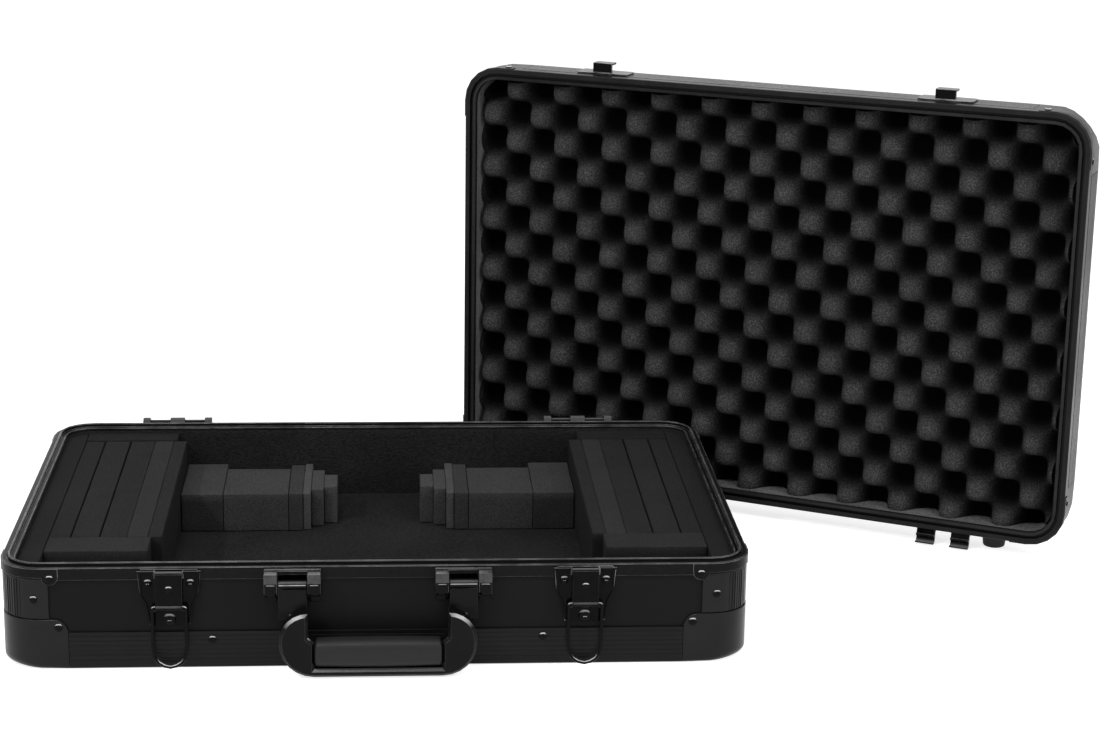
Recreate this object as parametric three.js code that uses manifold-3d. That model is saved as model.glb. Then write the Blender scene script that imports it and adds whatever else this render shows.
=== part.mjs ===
// Flight case: a shallow tray with foam blocks, and its lift-off lid, which stands beside it on two feet.
// Millimetres, +Z up. The origin is the centre of the tray's underside. The latches and handle are at -Y.
// The lid is drawn as a second tray, open side up, and then stood up and turned as one group.
import * as THREE from "three";
import { mergeVertices } from "three/addons/utils/BufferGeometryUtils.js";
import Module from "manifold-3d";

const wasm = await Module();
wasm.setup();

// Overall sizes
const caseWidth = 660;
const caseDepth = 436;
const baseHeight = 94; // underside to the rim's face
const lidDepth = 48; // top panel to the rim's face
const cornerRadius = 36; // outer corner, seen from above

// Fits
const seat = 0.3; // gap between pieces that rest on each other
const pinPlay = 0.4; // radial play of a pin in its knuckle
const sidePlay = 0.3; // play beside a knuckle or lever

// Panels and lining
const panelThickness = 6;
const liningThickness = 3.4;

// Edge trims, with fine grooves along them
const trimThickness = 2;
const baseEdgeHeight = 34; // upright leg
const lidEdgeGap = 2.7; // between the lid's trims and its rim's foot
const edgeReach = 24; // leg under the panel
const edgeGroovePitch = 4.4;
const edgeGrooveWidth = 1.4;
const edgeGrooveDepth = 0.5;

// Corner caps and posts
const capReach = 60; // from the corner along each side
const baseCapHeight = 47;
const capRoundMiddle = 23; // rounding underneath, at the middle of the corner
const capRoundTangent = 7; // where the corner's arc begins
const capRoundEnd = 3; // at the cap's ends, as on the edge trims
const postReach = 44; // from the corner along each side
const postRibs = 7;
const postRibPitch = 3.2;
const postGrooveWidth = 1.6;
const postGrooveDepth = 0.8;

// Rim extrusions: the base has a tongue and the lid a groove for it
const rimWidth = 12;
const rimFlange = 11.3; // height of the flange over the outside
const rimLand = 4.4; // flat land outside the tongue
const rimChamfer = 0.7;
const rimSheet = 1; // metal under a groove
const tongueInset = 5.6;
const tongueThickness = 2.1;
const tongueHeight = 3;
const tonguePlay = 0.6;
const reliefDepth = 2; // dark channel beside the tongue
const clipReach = 52.8; // riveted clip round each corner of the rim
const clipThickness = 0.9;
const clipRise = 2.3; // its lower edge over the rim's foot
const clipEarWidth = 14.2; // ear at each end, which hangs over the wall
const clipEarDrop = 4.2; // below the rim's foot
const clipEarRadius = 6.5;

// Foam in the tray
const matThickness = 14.7;
const foamDrop = 7; // its top, below the rim's face
const foamEndLength = 111.7; // along X, without the middle stretch
const foamMiddleStretch = 10;
const foamWell = 50.7; // free space between its front and the case's front wall
const foamMiddleFrontStep = 38.5; // the middle stretch, behind the front
const foamMiddleRearStep = 26.7; // and in front of the rear
const slitWidth = 0.8;
const slitDepth = 6;
const crossSlitDepth = 7;
const stripWidths = [19.7, 19.5, 25.9, 24.6, 19]; // from the end wall inwards
const blockTop = 60;
const blockDepth = 119.7; // from the rear of the foam to the blocks' front
const outerBlockLength = 41.2;
const outerBlockRear = 20.2; // free space behind it
const middleBlockLength = 64.4;
const middleBlockRear = 37.2;
const noseLengths = [14, 8, 12.5, 13.5]; // steps of the nose, towards the middle of the tray
const noseFronts = [0, 2, 14, 22.5]; // their fronts, behind the blocks' front
const noseRears = [24.7, 20.7, 42.2, 57.7]; // free space behind them

// Convoluted foam in the lid
const bumpPitchX = 54.4;
const bumpPitchY = 57;
const bumpInsetX = 28.5; // first peak from the lid's left edge
const bumpInsetY = 47; // and from its front edge
const bumpHeight = 20.7;
const bumpFoot = 4; // foam under the hollows
const bumpSteps = 4; // facets across each bump

// Handle: two horns joined by a rail, with a padded grip on the rail
const handlePinOut = 9; // pin in front of the case
const handlePinDrop = 14; // pin below the rim's face
const handlePinRadius = 2;
const handleKnuckleRadius = 4.5;
const handleBackOut = 12; // back of the horns in front of the case
const handleThickness = 18;
const handleBottom = 1.5;
const handleHalf = 86;
const handleCornerRadius = 30;
const hornRadius = 25;
const hornTop = 60;
const hornWaist = 38; // where the inner edge turns in over the grip
const hornSill = 33;
const railHeight = 7.7;
const handleBevel = 2.5;
const gripHalf = 55;
const gripHeight = 26;
const gripDepth = 23;
const gripBackOut = 10;
const handleTabWidth = 24.2;
const handleTabThickness = 4;
const handleTabRoot = 15; // width where the tab runs into the horn
const bracketCentre = 74.5;
const bracketLeg = 11;
const bracketDrop = 3; // its top, below the rim's face
const bracketHeight = 28;
const bracketOut = 14;
const bracketBar = 3;

// Latches: a plate with two cheeks, a lever with a roll at its foot, and a wire bail through the roll
const plateThickness = 1.5;
const plateRadius = 3;
const latchInset = 148.5; // its middle, from the case's end
const latchDrop = 1.5; // its top, below the rim's face
const latchHeight = 50.7;
const latchHalfTop = 27;
const latchHalfBody = 25.3;
const latchHalfWaist = 20.5;
const latchHalfFoot = 17.8;
const latchTaperTop = 27.2; // above the plate's foot
const latchTaperFoot = 19.2;
const leverHalf = 11.5;
const leverThickness = 1.6;
const leverKnuckleRadius = 2.3;
const leverPinRadius = 1.1;
const leverPinDrop = 4.7; // pin below the rim's face
const leverLength = 29.8; // from the pin down to the roll
const rollRadius = 3.2;
const rollOut = 7.6;
const cheekThickness = 0.9;
const cheekHeight = 7;
const wireRadius = 1.5;
const bailLength = 55.5;
const bailCorner = 3;
const bailTail = 17; // length of its rounded end

// Lift-off hinges
const hingeInset = 121; // its middle, from the case's end
const leafDrop = 2.5; // its top, below the rim's face
const leafHeight = 31.5;
const knuckleEnd = 7.6;
const knuckleMiddle = 15;
const hookWidth = 19;
const hookPlay = 0.75; // beside a hook, between two knuckles
const rodOut = 10;
const rodDrop = 1; // below the rim's face
const rodRadius = 2.4;
const knuckleRadius = 4.7;
const hookBoreRadius = 3;
const hookThickness = 2;
const hookLap = 10; // its strap over its leaf
const hookLeafHalf = 30;

// Plates on the lid
const lidPlateHeight = 24;
const hookLeafDrop = 14; // its top, below the lid's rim face
const catchPlateMargin = 5.1; // plate above its hook
const catchHalf = 28;
const catchHookHalf = 10.5;
const catchHookThickness = 2.2;
const catchHookLength = 13;

// Rubber feet for standing either half on its back edge
const footInset = 74; // its middle, from the case's end
const footRadius = 12.5;
const footTipRadius = 11;
const footHeight = 16;
const footZ = 19.5;
const footRecessRadius = 4;
const footRecessDepth = 10;

// Where the lid stands, beside the tray's rear right corner
const lidTurn = 27.2; // degrees
const lidGap = 2.5; // between its rim and the tray
const lidShift = 83; // its middle, to the right of that corner

// Facets
const roundSides = 14;
const cornerSteps = 5;
const roundSteps = 3;

// Worked out from the sizes above
const halfWidth = caseWidth / 2;
const halfDepth = caseDepth / 2;
const panelInset = trimThickness + seat;
const liningInset = panelInset + panelThickness + seat;
const insideInset = liningInset + liningThickness;
const wallFoot = panelThickness + seat;
const rimLipBase = baseHeight - reliefDepth - rimSheet;
const rimLipLid = lidDepth - tongueHeight - tonguePlay - rimSheet;
const wallTop = rimLipBase - seat;
const rimFootBase = baseHeight - rimFlange;
const rimFootLid = lidDepth - rimFlange;
const plateBack = halfDepth + seat;
const plateFace = plateBack + plateThickness;
const padBack = halfDepth - panelInset + seat;
const padTop = rimFootBase - seat;
const closedHeight = baseHeight + lidDepth;
const foamTop = baseHeight - foamDrop;
const handlePinZ = baseHeight - handlePinDrop;
const bracketTop = baseHeight - bracketDrop;
const bracketBottom = bracketTop - bracketHeight;
const latchCentre = halfWidth - latchInset;
const latchTop = baseHeight - latchDrop;
const latchBottom = latchTop - latchHeight;
const leverPinZ = baseHeight - leverPinDrop;
const rollZ = leverPinZ - leverLength;
const hingeCentre = halfWidth - hingeInset;
const leafTop = baseHeight - leafDrop;
const leafBottom = leafTop - leafHeight;
const rodZ = baseHeight - rodDrop;
const footCentre = halfWidth - footInset;

// Materials
const finish = (color, roughness, metalness) =>
  new THREE.MeshStandardMaterial({ color, roughness, metalness });
const blackPanel = finish(0x1d1d1f, 0.6, 0.1);
const anodised = finish(0x26272a, 0.38, 0.8);
const capMetal = finish(0x1b1b1d, 0.42, 0.5);
const hardware = finish(0x141416, 0.18, 0.9);
const plastic = finish(0x151517, 0.4, 0.0);
const rubber = finish(0x121212, 0.8, 0.0);
const greyFoam = finish(0x2b2b2d, 0.95, 0.0);
const felt = finish(0x202022, 0.95, 0.0);

// Solids from geometries, and back
function toSolid(geometry) {
  const bare = new THREE.BufferGeometry();
  bare.setAttribute("position", geometry.getAttribute("position"));
  bare.setIndex(geometry.index);
  const merged = mergeVertices(bare, 1e-4);
  const index = merged.index.array;
  const kept = [];
  for (let i = 0; i < index.length; i += 3) {
    const [a, b, c] = [index[i], index[i + 1], index[i + 2]];
    if (a !== b && b !== c && c !== a) kept.push(a, b, c);
  }
  return new wasm.Manifold(
    new wasm.Mesh({
      numProp: 3,
      vertProperties: new Float32Array(merged.attributes.position.array),
      triVerts: new Uint32Array(kept),
    }),
  );
}

function toGeometry(solid) {
  const { vertProperties, triVerts } = solid.getMesh();
  const geometry = new THREE.BufferGeometry();
  geometry.setAttribute("position", new THREE.BufferAttribute(vertProperties, 3));
  geometry.setIndex(new THREE.BufferAttribute(triVerts, 1));
  return geometry;
}

const join = (...solids) => solids.reduce((whole, solid) => whole.add(solid));
const cut = (solid, ...tools) => tools.reduce((rest, tool) => rest.subtract(tool), solid);

function box(x0, x1, y0, y1, z0, z1) {
  const geometry = new THREE.BoxGeometry(x1 - x0, y1 - y0, z1 - z0);
  geometry.translate((x0 + x1) / 2, (y0 + y1) / 2, (z0 + z1) / 2);
  return toSolid(geometry);
}

// An outline pushed along an axis. Along "x" it is drawn in Y and Z, along "z" in X and Y,
// and along "out" in X and Z and pushed towards -Y, out of the front.
const planes = {
  x: new THREE.Matrix4().set(0, 0, 1, 0, 1, 0, 0, 0, 0, 1, 0, 0, 0, 0, 0, 1),
  out: new THREE.Matrix4().set(1, 0, 0, 0, 0, 0, -1, 0, 0, 1, 0, 0, 0, 0, 0, 1),
  z: new THREE.Matrix4(),
};

function prism(outline, along, from, to, bevel = 0, curveSegments = 2) {
  const corners = Array.isArray(outline) && outline.map(([a, b]) => new THREE.Vector2(a, b));
  const geometry = new THREE.ExtrudeGeometry(corners ? new THREE.Shape(corners) : outline, {
    depth: to - from - 2 * bevel,
    curveSegments,
    bevelEnabled: bevel > 0,
    bevelThickness: bevel,
    bevelSize: bevel,
    bevelOffset: -bevel,
    bevelSegments: 1,
  });
  geometry.translate(0, 0, from + bevel);
  geometry.applyMatrix4(planes[along]);
  return toSolid(geometry);
}

function rod(along, from, to, a, b, radius, sides = roundSides) {
  const outline = Array.from({ length: sides }, (_, i) => {
    const angle = ((i + 0.5) / sides) * 2 * Math.PI;
    return [a + radius * Math.cos(angle), b + radius * Math.sin(angle)];
  });
  return prism(outline, along, from, to);
}

function roundedPlate(x0, x1, z0, z1, radius) {
  const shape = new THREE.Shape();
  shape.absarc(x1 - radius, z1 - radius, radius, 0, Math.PI / 2);
  shape.absarc(x0 + radius, z1 - radius, radius, Math.PI / 2, Math.PI);
  shape.absarc(x0 + radius, z0 + radius, radius, Math.PI, 1.5 * Math.PI);
  shape.absarc(x1 - radius, z0 + radius, radius, 1.5 * Math.PI, 2 * Math.PI);
  return shape;
}

// Triangles turned so that the surface faces out
function faced(points, triangles) {
  const across = new THREE.Vector3();
  let volume = 0;
  for (const [a, b, c] of triangles) volume += points[a].dot(across.crossVectors(points[b], points[c]));
  const index = volume < 0 ? triangles.map(([a, b, c]) => [a, c, b]) : triangles;
  const geometry = new THREE.BufferGeometry().setFromPoints(points);
  geometry.setIndex(index.flat());
  return geometry;
}

// A skin over cross-sections with the same number of points.
// It closes on itself, or ends flat with the outline given.
function loft(sections, endOutline) {
  const count = sections[0].length;
  const last = (sections.length - 1) * count;
  const triangles = [];
  for (let i = 0; i < (endOutline ? sections.length - 1 : sections.length); i++) {
    const next = (i + 1) % sections.length;
    for (let j = 0; j < count; j++) {
      const k = (j + 1) % count;
      triangles.push([i * count + j, i * count + k, next * count + k]);
      triangles.push([i * count + j, next * count + k, next * count + j]);
    }
  }
  if (endOutline) {
    const outline = endOutline.map(([a, b]) => new THREE.Vector2(a, b));
    const clockwise = THREE.ShapeUtils.area(outline) < 0;
    for (const [a, b, c] of THREE.ShapeUtils.triangulateShape(outline, [])) {
      const first = clockwise ? [a, b, c] : [a, c, b];
      triangles.push(first);
      triangles.push([last + first[0], last + first[2], last + first[1]]);
    }
  }
  return toSolid(faced(sections.flat(), triangles));
}

// A quarter round, from the upright face down to the underside, as distance in from the outside and height
function roundPoints(centre, radius) {
  return Array.from({ length: roundSteps + 1 }, (_, k) => {
    const angle = (k / roundSteps) * (Math.PI / 2);
    return [centre - radius * Math.cos(angle), centre - radius * Math.sin(angle)];
  });
}

// How far the underside of a cap is rounded. turn runs from 0 to 1 round the arc,
// and away from 0 to 1 along a wing.
function underRounding({ turn, away = 0 }) {
  if (turn === undefined) return capRoundTangent + (capRoundEnd - capRoundTangent) * away;
  return capRoundTangent + (capRoundMiddle - capRoundTangent) * Math.sin(Math.PI * turn);
}

// Stations round the corner at +X +Y, from its wing along the side to its wing along the back
function cornerStations(reach, wingStops) {
  const centre = new THREE.Vector2(halfWidth - cornerRadius, halfDepth - cornerRadius);
  const sideWing = wingStops.map((away) => ({
    point: new THREE.Vector2(halfWidth, centre.y - (reach - cornerRadius) * away),
    out: new THREE.Vector2(1, 0),
    away,
  }));
  const arc = Array.from({ length: cornerSteps + 1 }, (_, k) => {
    const angle = (k / cornerSteps) * (Math.PI / 2);
    const out = new THREE.Vector2(Math.cos(angle), Math.sin(angle));
    return { point: out.clone().multiplyScalar(cornerRadius).add(centre), out, turn: k / cornerSteps };
  });
  const backWing = wingStops.map((away) => ({
    point: new THREE.Vector2(centre.x - (reach - cornerRadius) * away, halfDepth),
    out: new THREE.Vector2(0, 1),
    away,
  }));
  return [...sideWing, ...arc, ...backWing.reverse()];
}

// The same stations at all four corners, in order round the case
const cornerSigns = [
  [1, 1],
  [-1, 1],
  [-1, -1],
  [1, -1],
];
function allStations(reach, wingStops) {
  const quarter = cornerStations(reach, wingStops);
  return cornerSigns.flatMap(([sx, sy]) => {
    const flip = new THREE.Vector2(sx, sy);
    const turned = quarter.map((station) => ({
      ...station,
      point: station.point.clone().multiply(flip),
      out: station.out.clone().multiply(flip),
    }));
    return sx * sy > 0 ? turned : turned.reverse();
  });
}

const place = ({ point, out }, d, z) => new THREE.Vector3(point.x - out.x * d, point.y - out.y * d, z);
const placeAll = (stations, profile) =>
  stations.map((station) => profile.map(([d, z]) => place(station, d, z)));
const sweepAround = (profile) => loft(placeAll(allStations(0, []), profile));
const sweepCorner = (profile, reach, stops) =>
  loft(placeAll(cornerStations(reach, stops), profile), profile);
const band = (d0, d1, z0, z1) => [
  [d0, z0],
  [d1, z0],
  [d1, z1],
  [d0, z1],
];

// A flat slab with the case's outline, set in by d
function slab(d, z0, z1) {
  const outline = allStations(0, []).map((station) => place(station, d, 0).toArray());
  return prism(outline, "z", z0, z1);
}

// The space inside the corner caps, which rounds off what reaches into the corners
function spaceInsideCaps() {
  const stations = allStations(capReach, [1]);
  const rounds = stations.map((station) => {
    const radius = underRounding(station) - trimThickness;
    return roundPoints(panelInset + radius, radius).reverse();
  });
  const levels = Array.from({ length: roundSteps + 1 }, (_, k) =>
    stations.map((station, i) => place(station, ...rounds[i][k])),
  );
  levels.push(stations.map((station) => place(station, panelInset, baseHeight)));
  return loft(levels, levels[0].map(({ x, y }) => [x, y]));
}
const insideCaps = spaceInsideCaps();

// The panel on the outside of either half: its middle lies flush with the trims, its edges on them
function outsidePanel() {
  const middle = slab(edgeReach + seat, 0, panelThickness - 1);
  const whole = slab(panelInset, panelInset, panelThickness).intersect(insideCaps);
  return join(middle, whole);
}

// The L-shaped profile of an edge trim, as distance in from the outside and height
function edgeProfile(height) {
  const count = Math.floor((height - capRoundEnd) / edgeGroovePitch - edgeGrooveWidth / 2);
  const grooves = Array.from({ length: count }, (_, i) => {
    const z = height - (i + 0.8) * edgeGroovePitch;
    return [
      [0, z + edgeGrooveWidth / 2],
      [edgeGrooveDepth, z],
      [0, z - edgeGrooveWidth / 2],
    ];
  });
  return [
    [0, height],
    ...grooves.flat(),
    ...roundPoints(capRoundEnd, capRoundEnd),
    [edgeReach, 0],
    [edgeReach, trimThickness],
    ...roundPoints(capRoundEnd, capRoundEnd - trimThickness).reverse(),
    [trimThickness, height],
  ];
}

function rearEdge(height) {
  const half = halfWidth - capReach - seat;
  return prism(edgeProfile(height).map(([d, z]) => [halfDepth - d, z]), "x", -half, half);
}

function rightEdge(height) {
  const half = halfDepth - capReach - seat;
  return prism(edgeProfile(height).map(([d, z]) => [halfWidth - d, z]), "out", -half, half);
}

// A cap round the corner at +X +Y: a shell rounded underneath, with a flange under the panel.
// The upper corner of each wing is rounded down to the top of the trim beside it.
function cornerCap(height, trimTop) {
  const profile = (round, top) => [
    [0, top],
    ...roundPoints(round, round),
    [edgeReach, 0],
    [edgeReach, trimThickness],
    ...roundPoints(round, round - trimThickness).reverse(),
    [trimThickness, top],
  ];
  const wing = capReach - cornerRadius;
  const ear = height - trimTop;
  const stops = roundPoints(ear, ear).map(([fromEnd]) => 1 - fromEnd / wing);
  const topAt = ({ away = 0 }) => {
    const short = Math.max(0, ear - (1 - away) * wing);
    return trimTop + Math.sqrt(ear ** 2 - short ** 2);
  };
  const sections = cornerStations(capReach, stops).map((station) =>
    profile(underRounding(station), topAt(station)).map(([d, z]) => place(station, d, z)),
  );
  return loft(sections, profile(capRoundEnd, trimTop));
}

// A post in the corner at +X +Y: a curved core between the walls, and a ribbed skin over their ends
function cornerPost() {
  const inner = panelInset + panelThickness;
  const core = sweepCorner(band(panelInset, inner, wallFoot, wallTop), 0, []).intersect(insideCaps);
  const bottom = baseCapHeight + seat;
  const web = sweepCorner(band(trimThickness / 2, inner - 1, bottom, padTop), 0, []);
  const skin = sweepCorner(band(0, trimThickness, bottom, padTop), postReach, [1]);
  const half = postGrooveWidth / 2;
  const tool = box(cornerRadius - postGrooveDepth, cornerRadius + 1, -half, half, bottom - 1, padTop + 1);
  const grooves = Array.from({ length: postRibs + 1 }, (_, i) => {
    const along = (i - postRibs / 2) * postRibPitch;
    const angle = 45 + THREE.MathUtils.radToDeg(along / cornerRadius);
    return tool.rotate([0, 0, angle]).translate([halfWidth - cornerRadius, halfDepth - cornerRadius, 0]);
  });
  return cut(join(core, web, skin), ...grooves);
}

// A wall between two posts, trimmed by the corner caps
function rearWall() {
  const half = halfWidth - cornerRadius - seat;
  const outside = halfDepth - panelInset;
  return box(-half, half, outside - panelThickness, outside, wallFoot, wallTop).intersect(insideCaps);
}

function rightWall() {
  const half = halfDepth - cornerRadius - seat;
  const outside = halfWidth - panelInset;
  return box(outside - panelThickness, outside, -half, half, wallFoot, wallTop).intersect(insideCaps);
}

// A clip round the corner at +X +Y, with an ear at each end that hangs over the wall below the rim
function cornerClip(foot, top) {
  const round = sweepCorner(band(-clipThickness, trimThickness / 2, foot + clipRise, top), clipReach, [1]);
  const ear = (half) => {
    const end = half - clipReach;
    return roundedPlate(end, end + clipEarWidth, foot - clipEarDrop, top - seat, clipEarRadius);
  };
  return join(
    round,
    prism(ear(halfWidth), "out", -(halfDepth + clipThickness), -(halfDepth + seat)),
    prism(ear(halfDepth), "x", halfWidth + seat, halfWidth + clipThickness),
  );
}

// A rim extrusion, with a riveted clip round each corner
function rim(height, lip, topEdge) {
  const foot = height - rimFlange;
  const ring = sweepAround([
    [trimThickness, lip],
    [trimThickness, foot],
    [0, foot],
    [0, height - rimChamfer],
    [rimChamfer, height],
    ...topEdge,
    [rimWidth - rimChamfer, height - rimChamfer],
    [rimWidth, height - 2 * rimChamfer],
    [rimWidth, lip],
  ]);
  const clip = cornerClip(foot, height - rimChamfer);
  return join(ring, ...cornerSigns.map(([sx, sy]) => clip.scale([sx, sy, 1])));
}

function baseRim() {
  const tongueTop = baseHeight + tongueHeight;
  const inner = tongueInset + tongueThickness;
  return rim(baseHeight, rimLipBase, [
    [rimLand, baseHeight],
    [rimLand, baseHeight - reliefDepth],
    [tongueInset, baseHeight - reliefDepth],
    [tongueInset, tongueTop - rimChamfer],
    [tongueInset + rimChamfer, tongueTop],
    [inner - rimChamfer, tongueTop],
    [inner, tongueTop - rimChamfer],
    [inner, baseHeight - rimChamfer],
  ]);
}

function lidRim() {
  const grooveFloor = lidDepth - tongueHeight - tonguePlay;
  const outer = tongueInset - tonguePlay;
  const inner = tongueInset + tongueThickness + tonguePlay;
  return rim(lidDepth, rimLipLid, [
    [outer, lidDepth],
    [outer, grooveFloor],
    [inner, grooveFloor],
    [inner, lidDepth - rimChamfer],
  ]);
}

function lining() {
  return sweepAround(band(liningInset, insideInset, wallFoot, wallTop)).intersect(insideCaps);
}

function lidWall() {
  const inner = panelInset + panelThickness;
  return sweepAround(band(panelInset, inner, wallFoot, rimLipLid - seat)).intersect(insideCaps);
}

// Foam that fills one end of the tray. Its middle stretch reaches further in, and its outer strip runs on
// to the front. Its top is slit into strips, as pick-and-pluck foam is.
const foamFoot = wallFoot + matThickness + seat;
const foamWall = halfWidth - insideInset - seat;
const foamRear = halfDepth - insideInset - seat;
const foamFront = foamWell - foamRear;
const foamMiddleFront = foamFront + foamMiddleFrontStep;
const foamMiddleRear = foamRear - foamMiddleRearStep;
const foamInner = foamWall - foamEndLength;
const middleInner = foamInner - foamMiddleStretch;

function foamEnd() {
  const corner = cornerRadius - insideInset - seat;
  const half = slitWidth / 2;
  const edges = [];
  for (const width of stripWidths) edges.push((edges.at(-1) ?? foamWall) - width);
  const stripInner = edges[0] + half;
  const stripTurn = Math.acos(Math.max(0, corner - (foamWall - stripInner)) / corner);
  const shape = new THREE.Shape();
  shape.moveTo(foamInner, foamFront);
  shape.lineTo(stripInner, foamFront);
  shape.absarc(foamWall - corner, corner - foamRear, corner, -stripTurn, 0);
  shape.absarc(foamWall - corner, foamRear - corner, corner, 0, Math.PI / 2);
  shape.lineTo(foamInner, foamRear);
  shape.lineTo(foamInner, foamMiddleRear);
  shape.lineTo(middleInner, foamMiddleRear);
  shape.lineTo(middleInner, foamMiddleFront);
  shape.lineTo(foamInner, foamMiddleFront);
  const along = (x, y0, y1) => box(x - half, x + half, y0, y1, foamTop - slitDepth, foamTop + 1);
  const crossFoot = foamTop - crossSlitDepth;
  const across = (y) => box(foamInner - 1, edges[0], y - half, y + half, crossFoot, foamTop + 1);
  return cut(
    prism(shape, "z", foamFoot, foamTop, 0, 3),
    along(edges[0], foamFront - 1, foamRear + 1),
    across(foamMiddleFront),
    across(foamMiddleRear),
    ...edges.slice(1).map((x) => along(x, foamMiddleFront, foamMiddleRear)),
  );
}

const blockFront = foamRear - blockDepth;
function foamBlock(outside, length, rear) {
  return box(outside - length, outside, blockFront, foamRear - rear, foamFoot, blockTop);
}

// The innermost block, stepped down like a stair towards the middle of the tray
function foamNose(outside) {
  const fronts = [];
  const rears = [];
  let x = outside;
  for (const [i, length] of noseLengths.entries()) {
    const front = blockFront + noseFronts[i];
    const rear = foamRear - noseRears[i];
    fronts.push([x, front], [x - length, front]);
    rears.push([x, rear], [x - length, rear]);
    x -= length;
  }
  return prism([...fronts, ...rears.reverse()], "z", foamFoot, blockTop);
}

// Egg-crate foam: peaks and hollows in a checker pattern, cut to the lid's outline
function lidFoam() {
  const bumpPeakX = bumpInsetX - halfWidth;
  const bumpPeakY = halfDepth - bumpInsetY;
  const stepX = bumpPitchX / bumpSteps;
  const stepY = bumpPitchY / bumpSteps;
  const firstX = Math.floor((-halfWidth - bumpPeakX) / stepX);
  const firstY = Math.floor((-halfDepth - bumpPeakY) / stepY);
  const columns = Math.ceil((halfWidth - bumpPeakX) / stepX) - firstX;
  const rows = Math.ceil((halfDepth - bumpPeakY) / stepY) - firstY;
  const points = [];
  for (let j = 0; j <= rows; j++) {
    for (let i = 0; i <= columns; i++) {
      const u = firstX + i;
      const v = firstY + j;
      const wave = Math.cos((2 * Math.PI * u) / bumpSteps) * Math.cos((2 * Math.PI * v) / bumpSteps);
      const z = wallFoot + bumpFoot + (bumpHeight * (1 + wave)) / 2;
      points.push(new THREE.Vector3(bumpPeakX + u * stepX, bumpPeakY + v * stepY, z));
    }
  }
  const at = (i, j) => j * (columns + 1) + i;
  const triangles = [];
  for (let j = 0; j < rows; j++) {
    for (let i = 0; i < columns; i++) {
      const [a, b, c, d] = [at(i, j), at(i + 1, j), at(i + 1, j + 1), at(i, j + 1)];
      const rising = (i + j + firstX + firstY) % 2 === 0;
      triangles.push(...(rising ? [[a, b, c], [a, c, d]] : [[a, b, d], [b, c, d]]));
    }
  }
  const border = [];
  for (let i = 0; i < columns; i++) border.push(at(i, 0));
  for (let j = 0; j < rows; j++) border.push(at(columns, j));
  for (let i = columns; i > 0; i--) border.push(at(i, rows));
  for (let j = rows; j > 0; j--) border.push(at(0, j));
  const base = points.length;
  const outline = border.map((index) => points[index].clone().setZ(0));
  points.push(...outline);
  border.forEach((index, k) => {
    const next = (k + 1) % border.length;
    triangles.push([index, base + k, base + next], [index, base + next, border[next]]);
  });
  for (const [a, b, c] of THREE.ShapeUtils.triangulateShape(outline, [])) {
    triangles.push([base + c, base + b, base + a]);
  }
  const sheet = toSolid(faced(points, triangles));
  return sheet.intersect(slab(liningInset, wallFoot, lidDepth)).intersect(insideCaps);
}

// Handle
const handlePinY = -(halfDepth + handlePinOut);
const handleBackY = -(halfDepth + handleBackOut);
const bracketGap = handleTabWidth + 2 * (sidePlay + 1);

function handleBracket() {
  const half = bracketGap / 2 + bracketLeg;
  const [x0, x1] = [bracketCentre - half, bracketCentre + half];
  const plate = roundedPlate(x0, x1, bracketBottom, bracketTop, plateRadius);
  const pad = roundedPlate(x0 + 1, x1 - 1, bracketBottom + 1, padTop, plateRadius);
  const barY = -plateFace - bracketBar;
  const side = [
    [-plateBack, bracketTop],
    [barY, bracketTop],
    [-(halfDepth + bracketOut), handlePinZ + 4],
    [-(halfDepth + bracketOut), handlePinZ - 6],
    [-plateBack, bracketBottom + 1],
  ];
  return join(
    prism(plate, "out", plateBack, plateFace),
    prism(pad, "out", padBack, plateFace),
    prism(side, "x", x0, x0 + bracketLeg),
    prism(side, "x", x1 - bracketLeg, x1),
    box(x0, x1, barY, -plateBack, bracketTop - bracketBar, bracketTop),
    rod("x", x0 + 1, x1 - 1, handlePinY, handlePinZ, handlePinRadius),
  );
}

// The horns and the rail, seen from the front
function handleOutline() {
  const shape = new THREE.Shape();
  const hornInner = handleHalf - hornRadius;
  const pocket = gripHalf + seat;
  const railTop = handleBottom + railHeight;
  const railHalf = handleHalf - handleCornerRadius;
  const lower = handleBottom + handleCornerRadius;
  shape.moveTo(-railHalf, handleBottom);
  shape.lineTo(railHalf, handleBottom);
  shape.absarc(railHalf, lower, handleCornerRadius, -Math.PI / 2, 0);
  shape.absarc(hornInner, hornTop - hornRadius, hornRadius, 0, Math.PI / 2);
  shape.lineTo(hornInner, hornWaist);
  shape.lineTo(pocket, hornSill);
  shape.lineTo(pocket, railTop);
  shape.lineTo(-pocket, railTop);
  shape.lineTo(-pocket, hornSill);
  shape.lineTo(-hornInner, hornWaist);
  shape.lineTo(-hornInner, hornTop);
  shape.absarc(-hornInner, hornTop - hornRadius, hornRadius, Math.PI / 2, Math.PI);
  shape.absarc(-railHalf, lower, handleCornerRadius, Math.PI, 1.5 * Math.PI);
  return shape;
}

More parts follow.
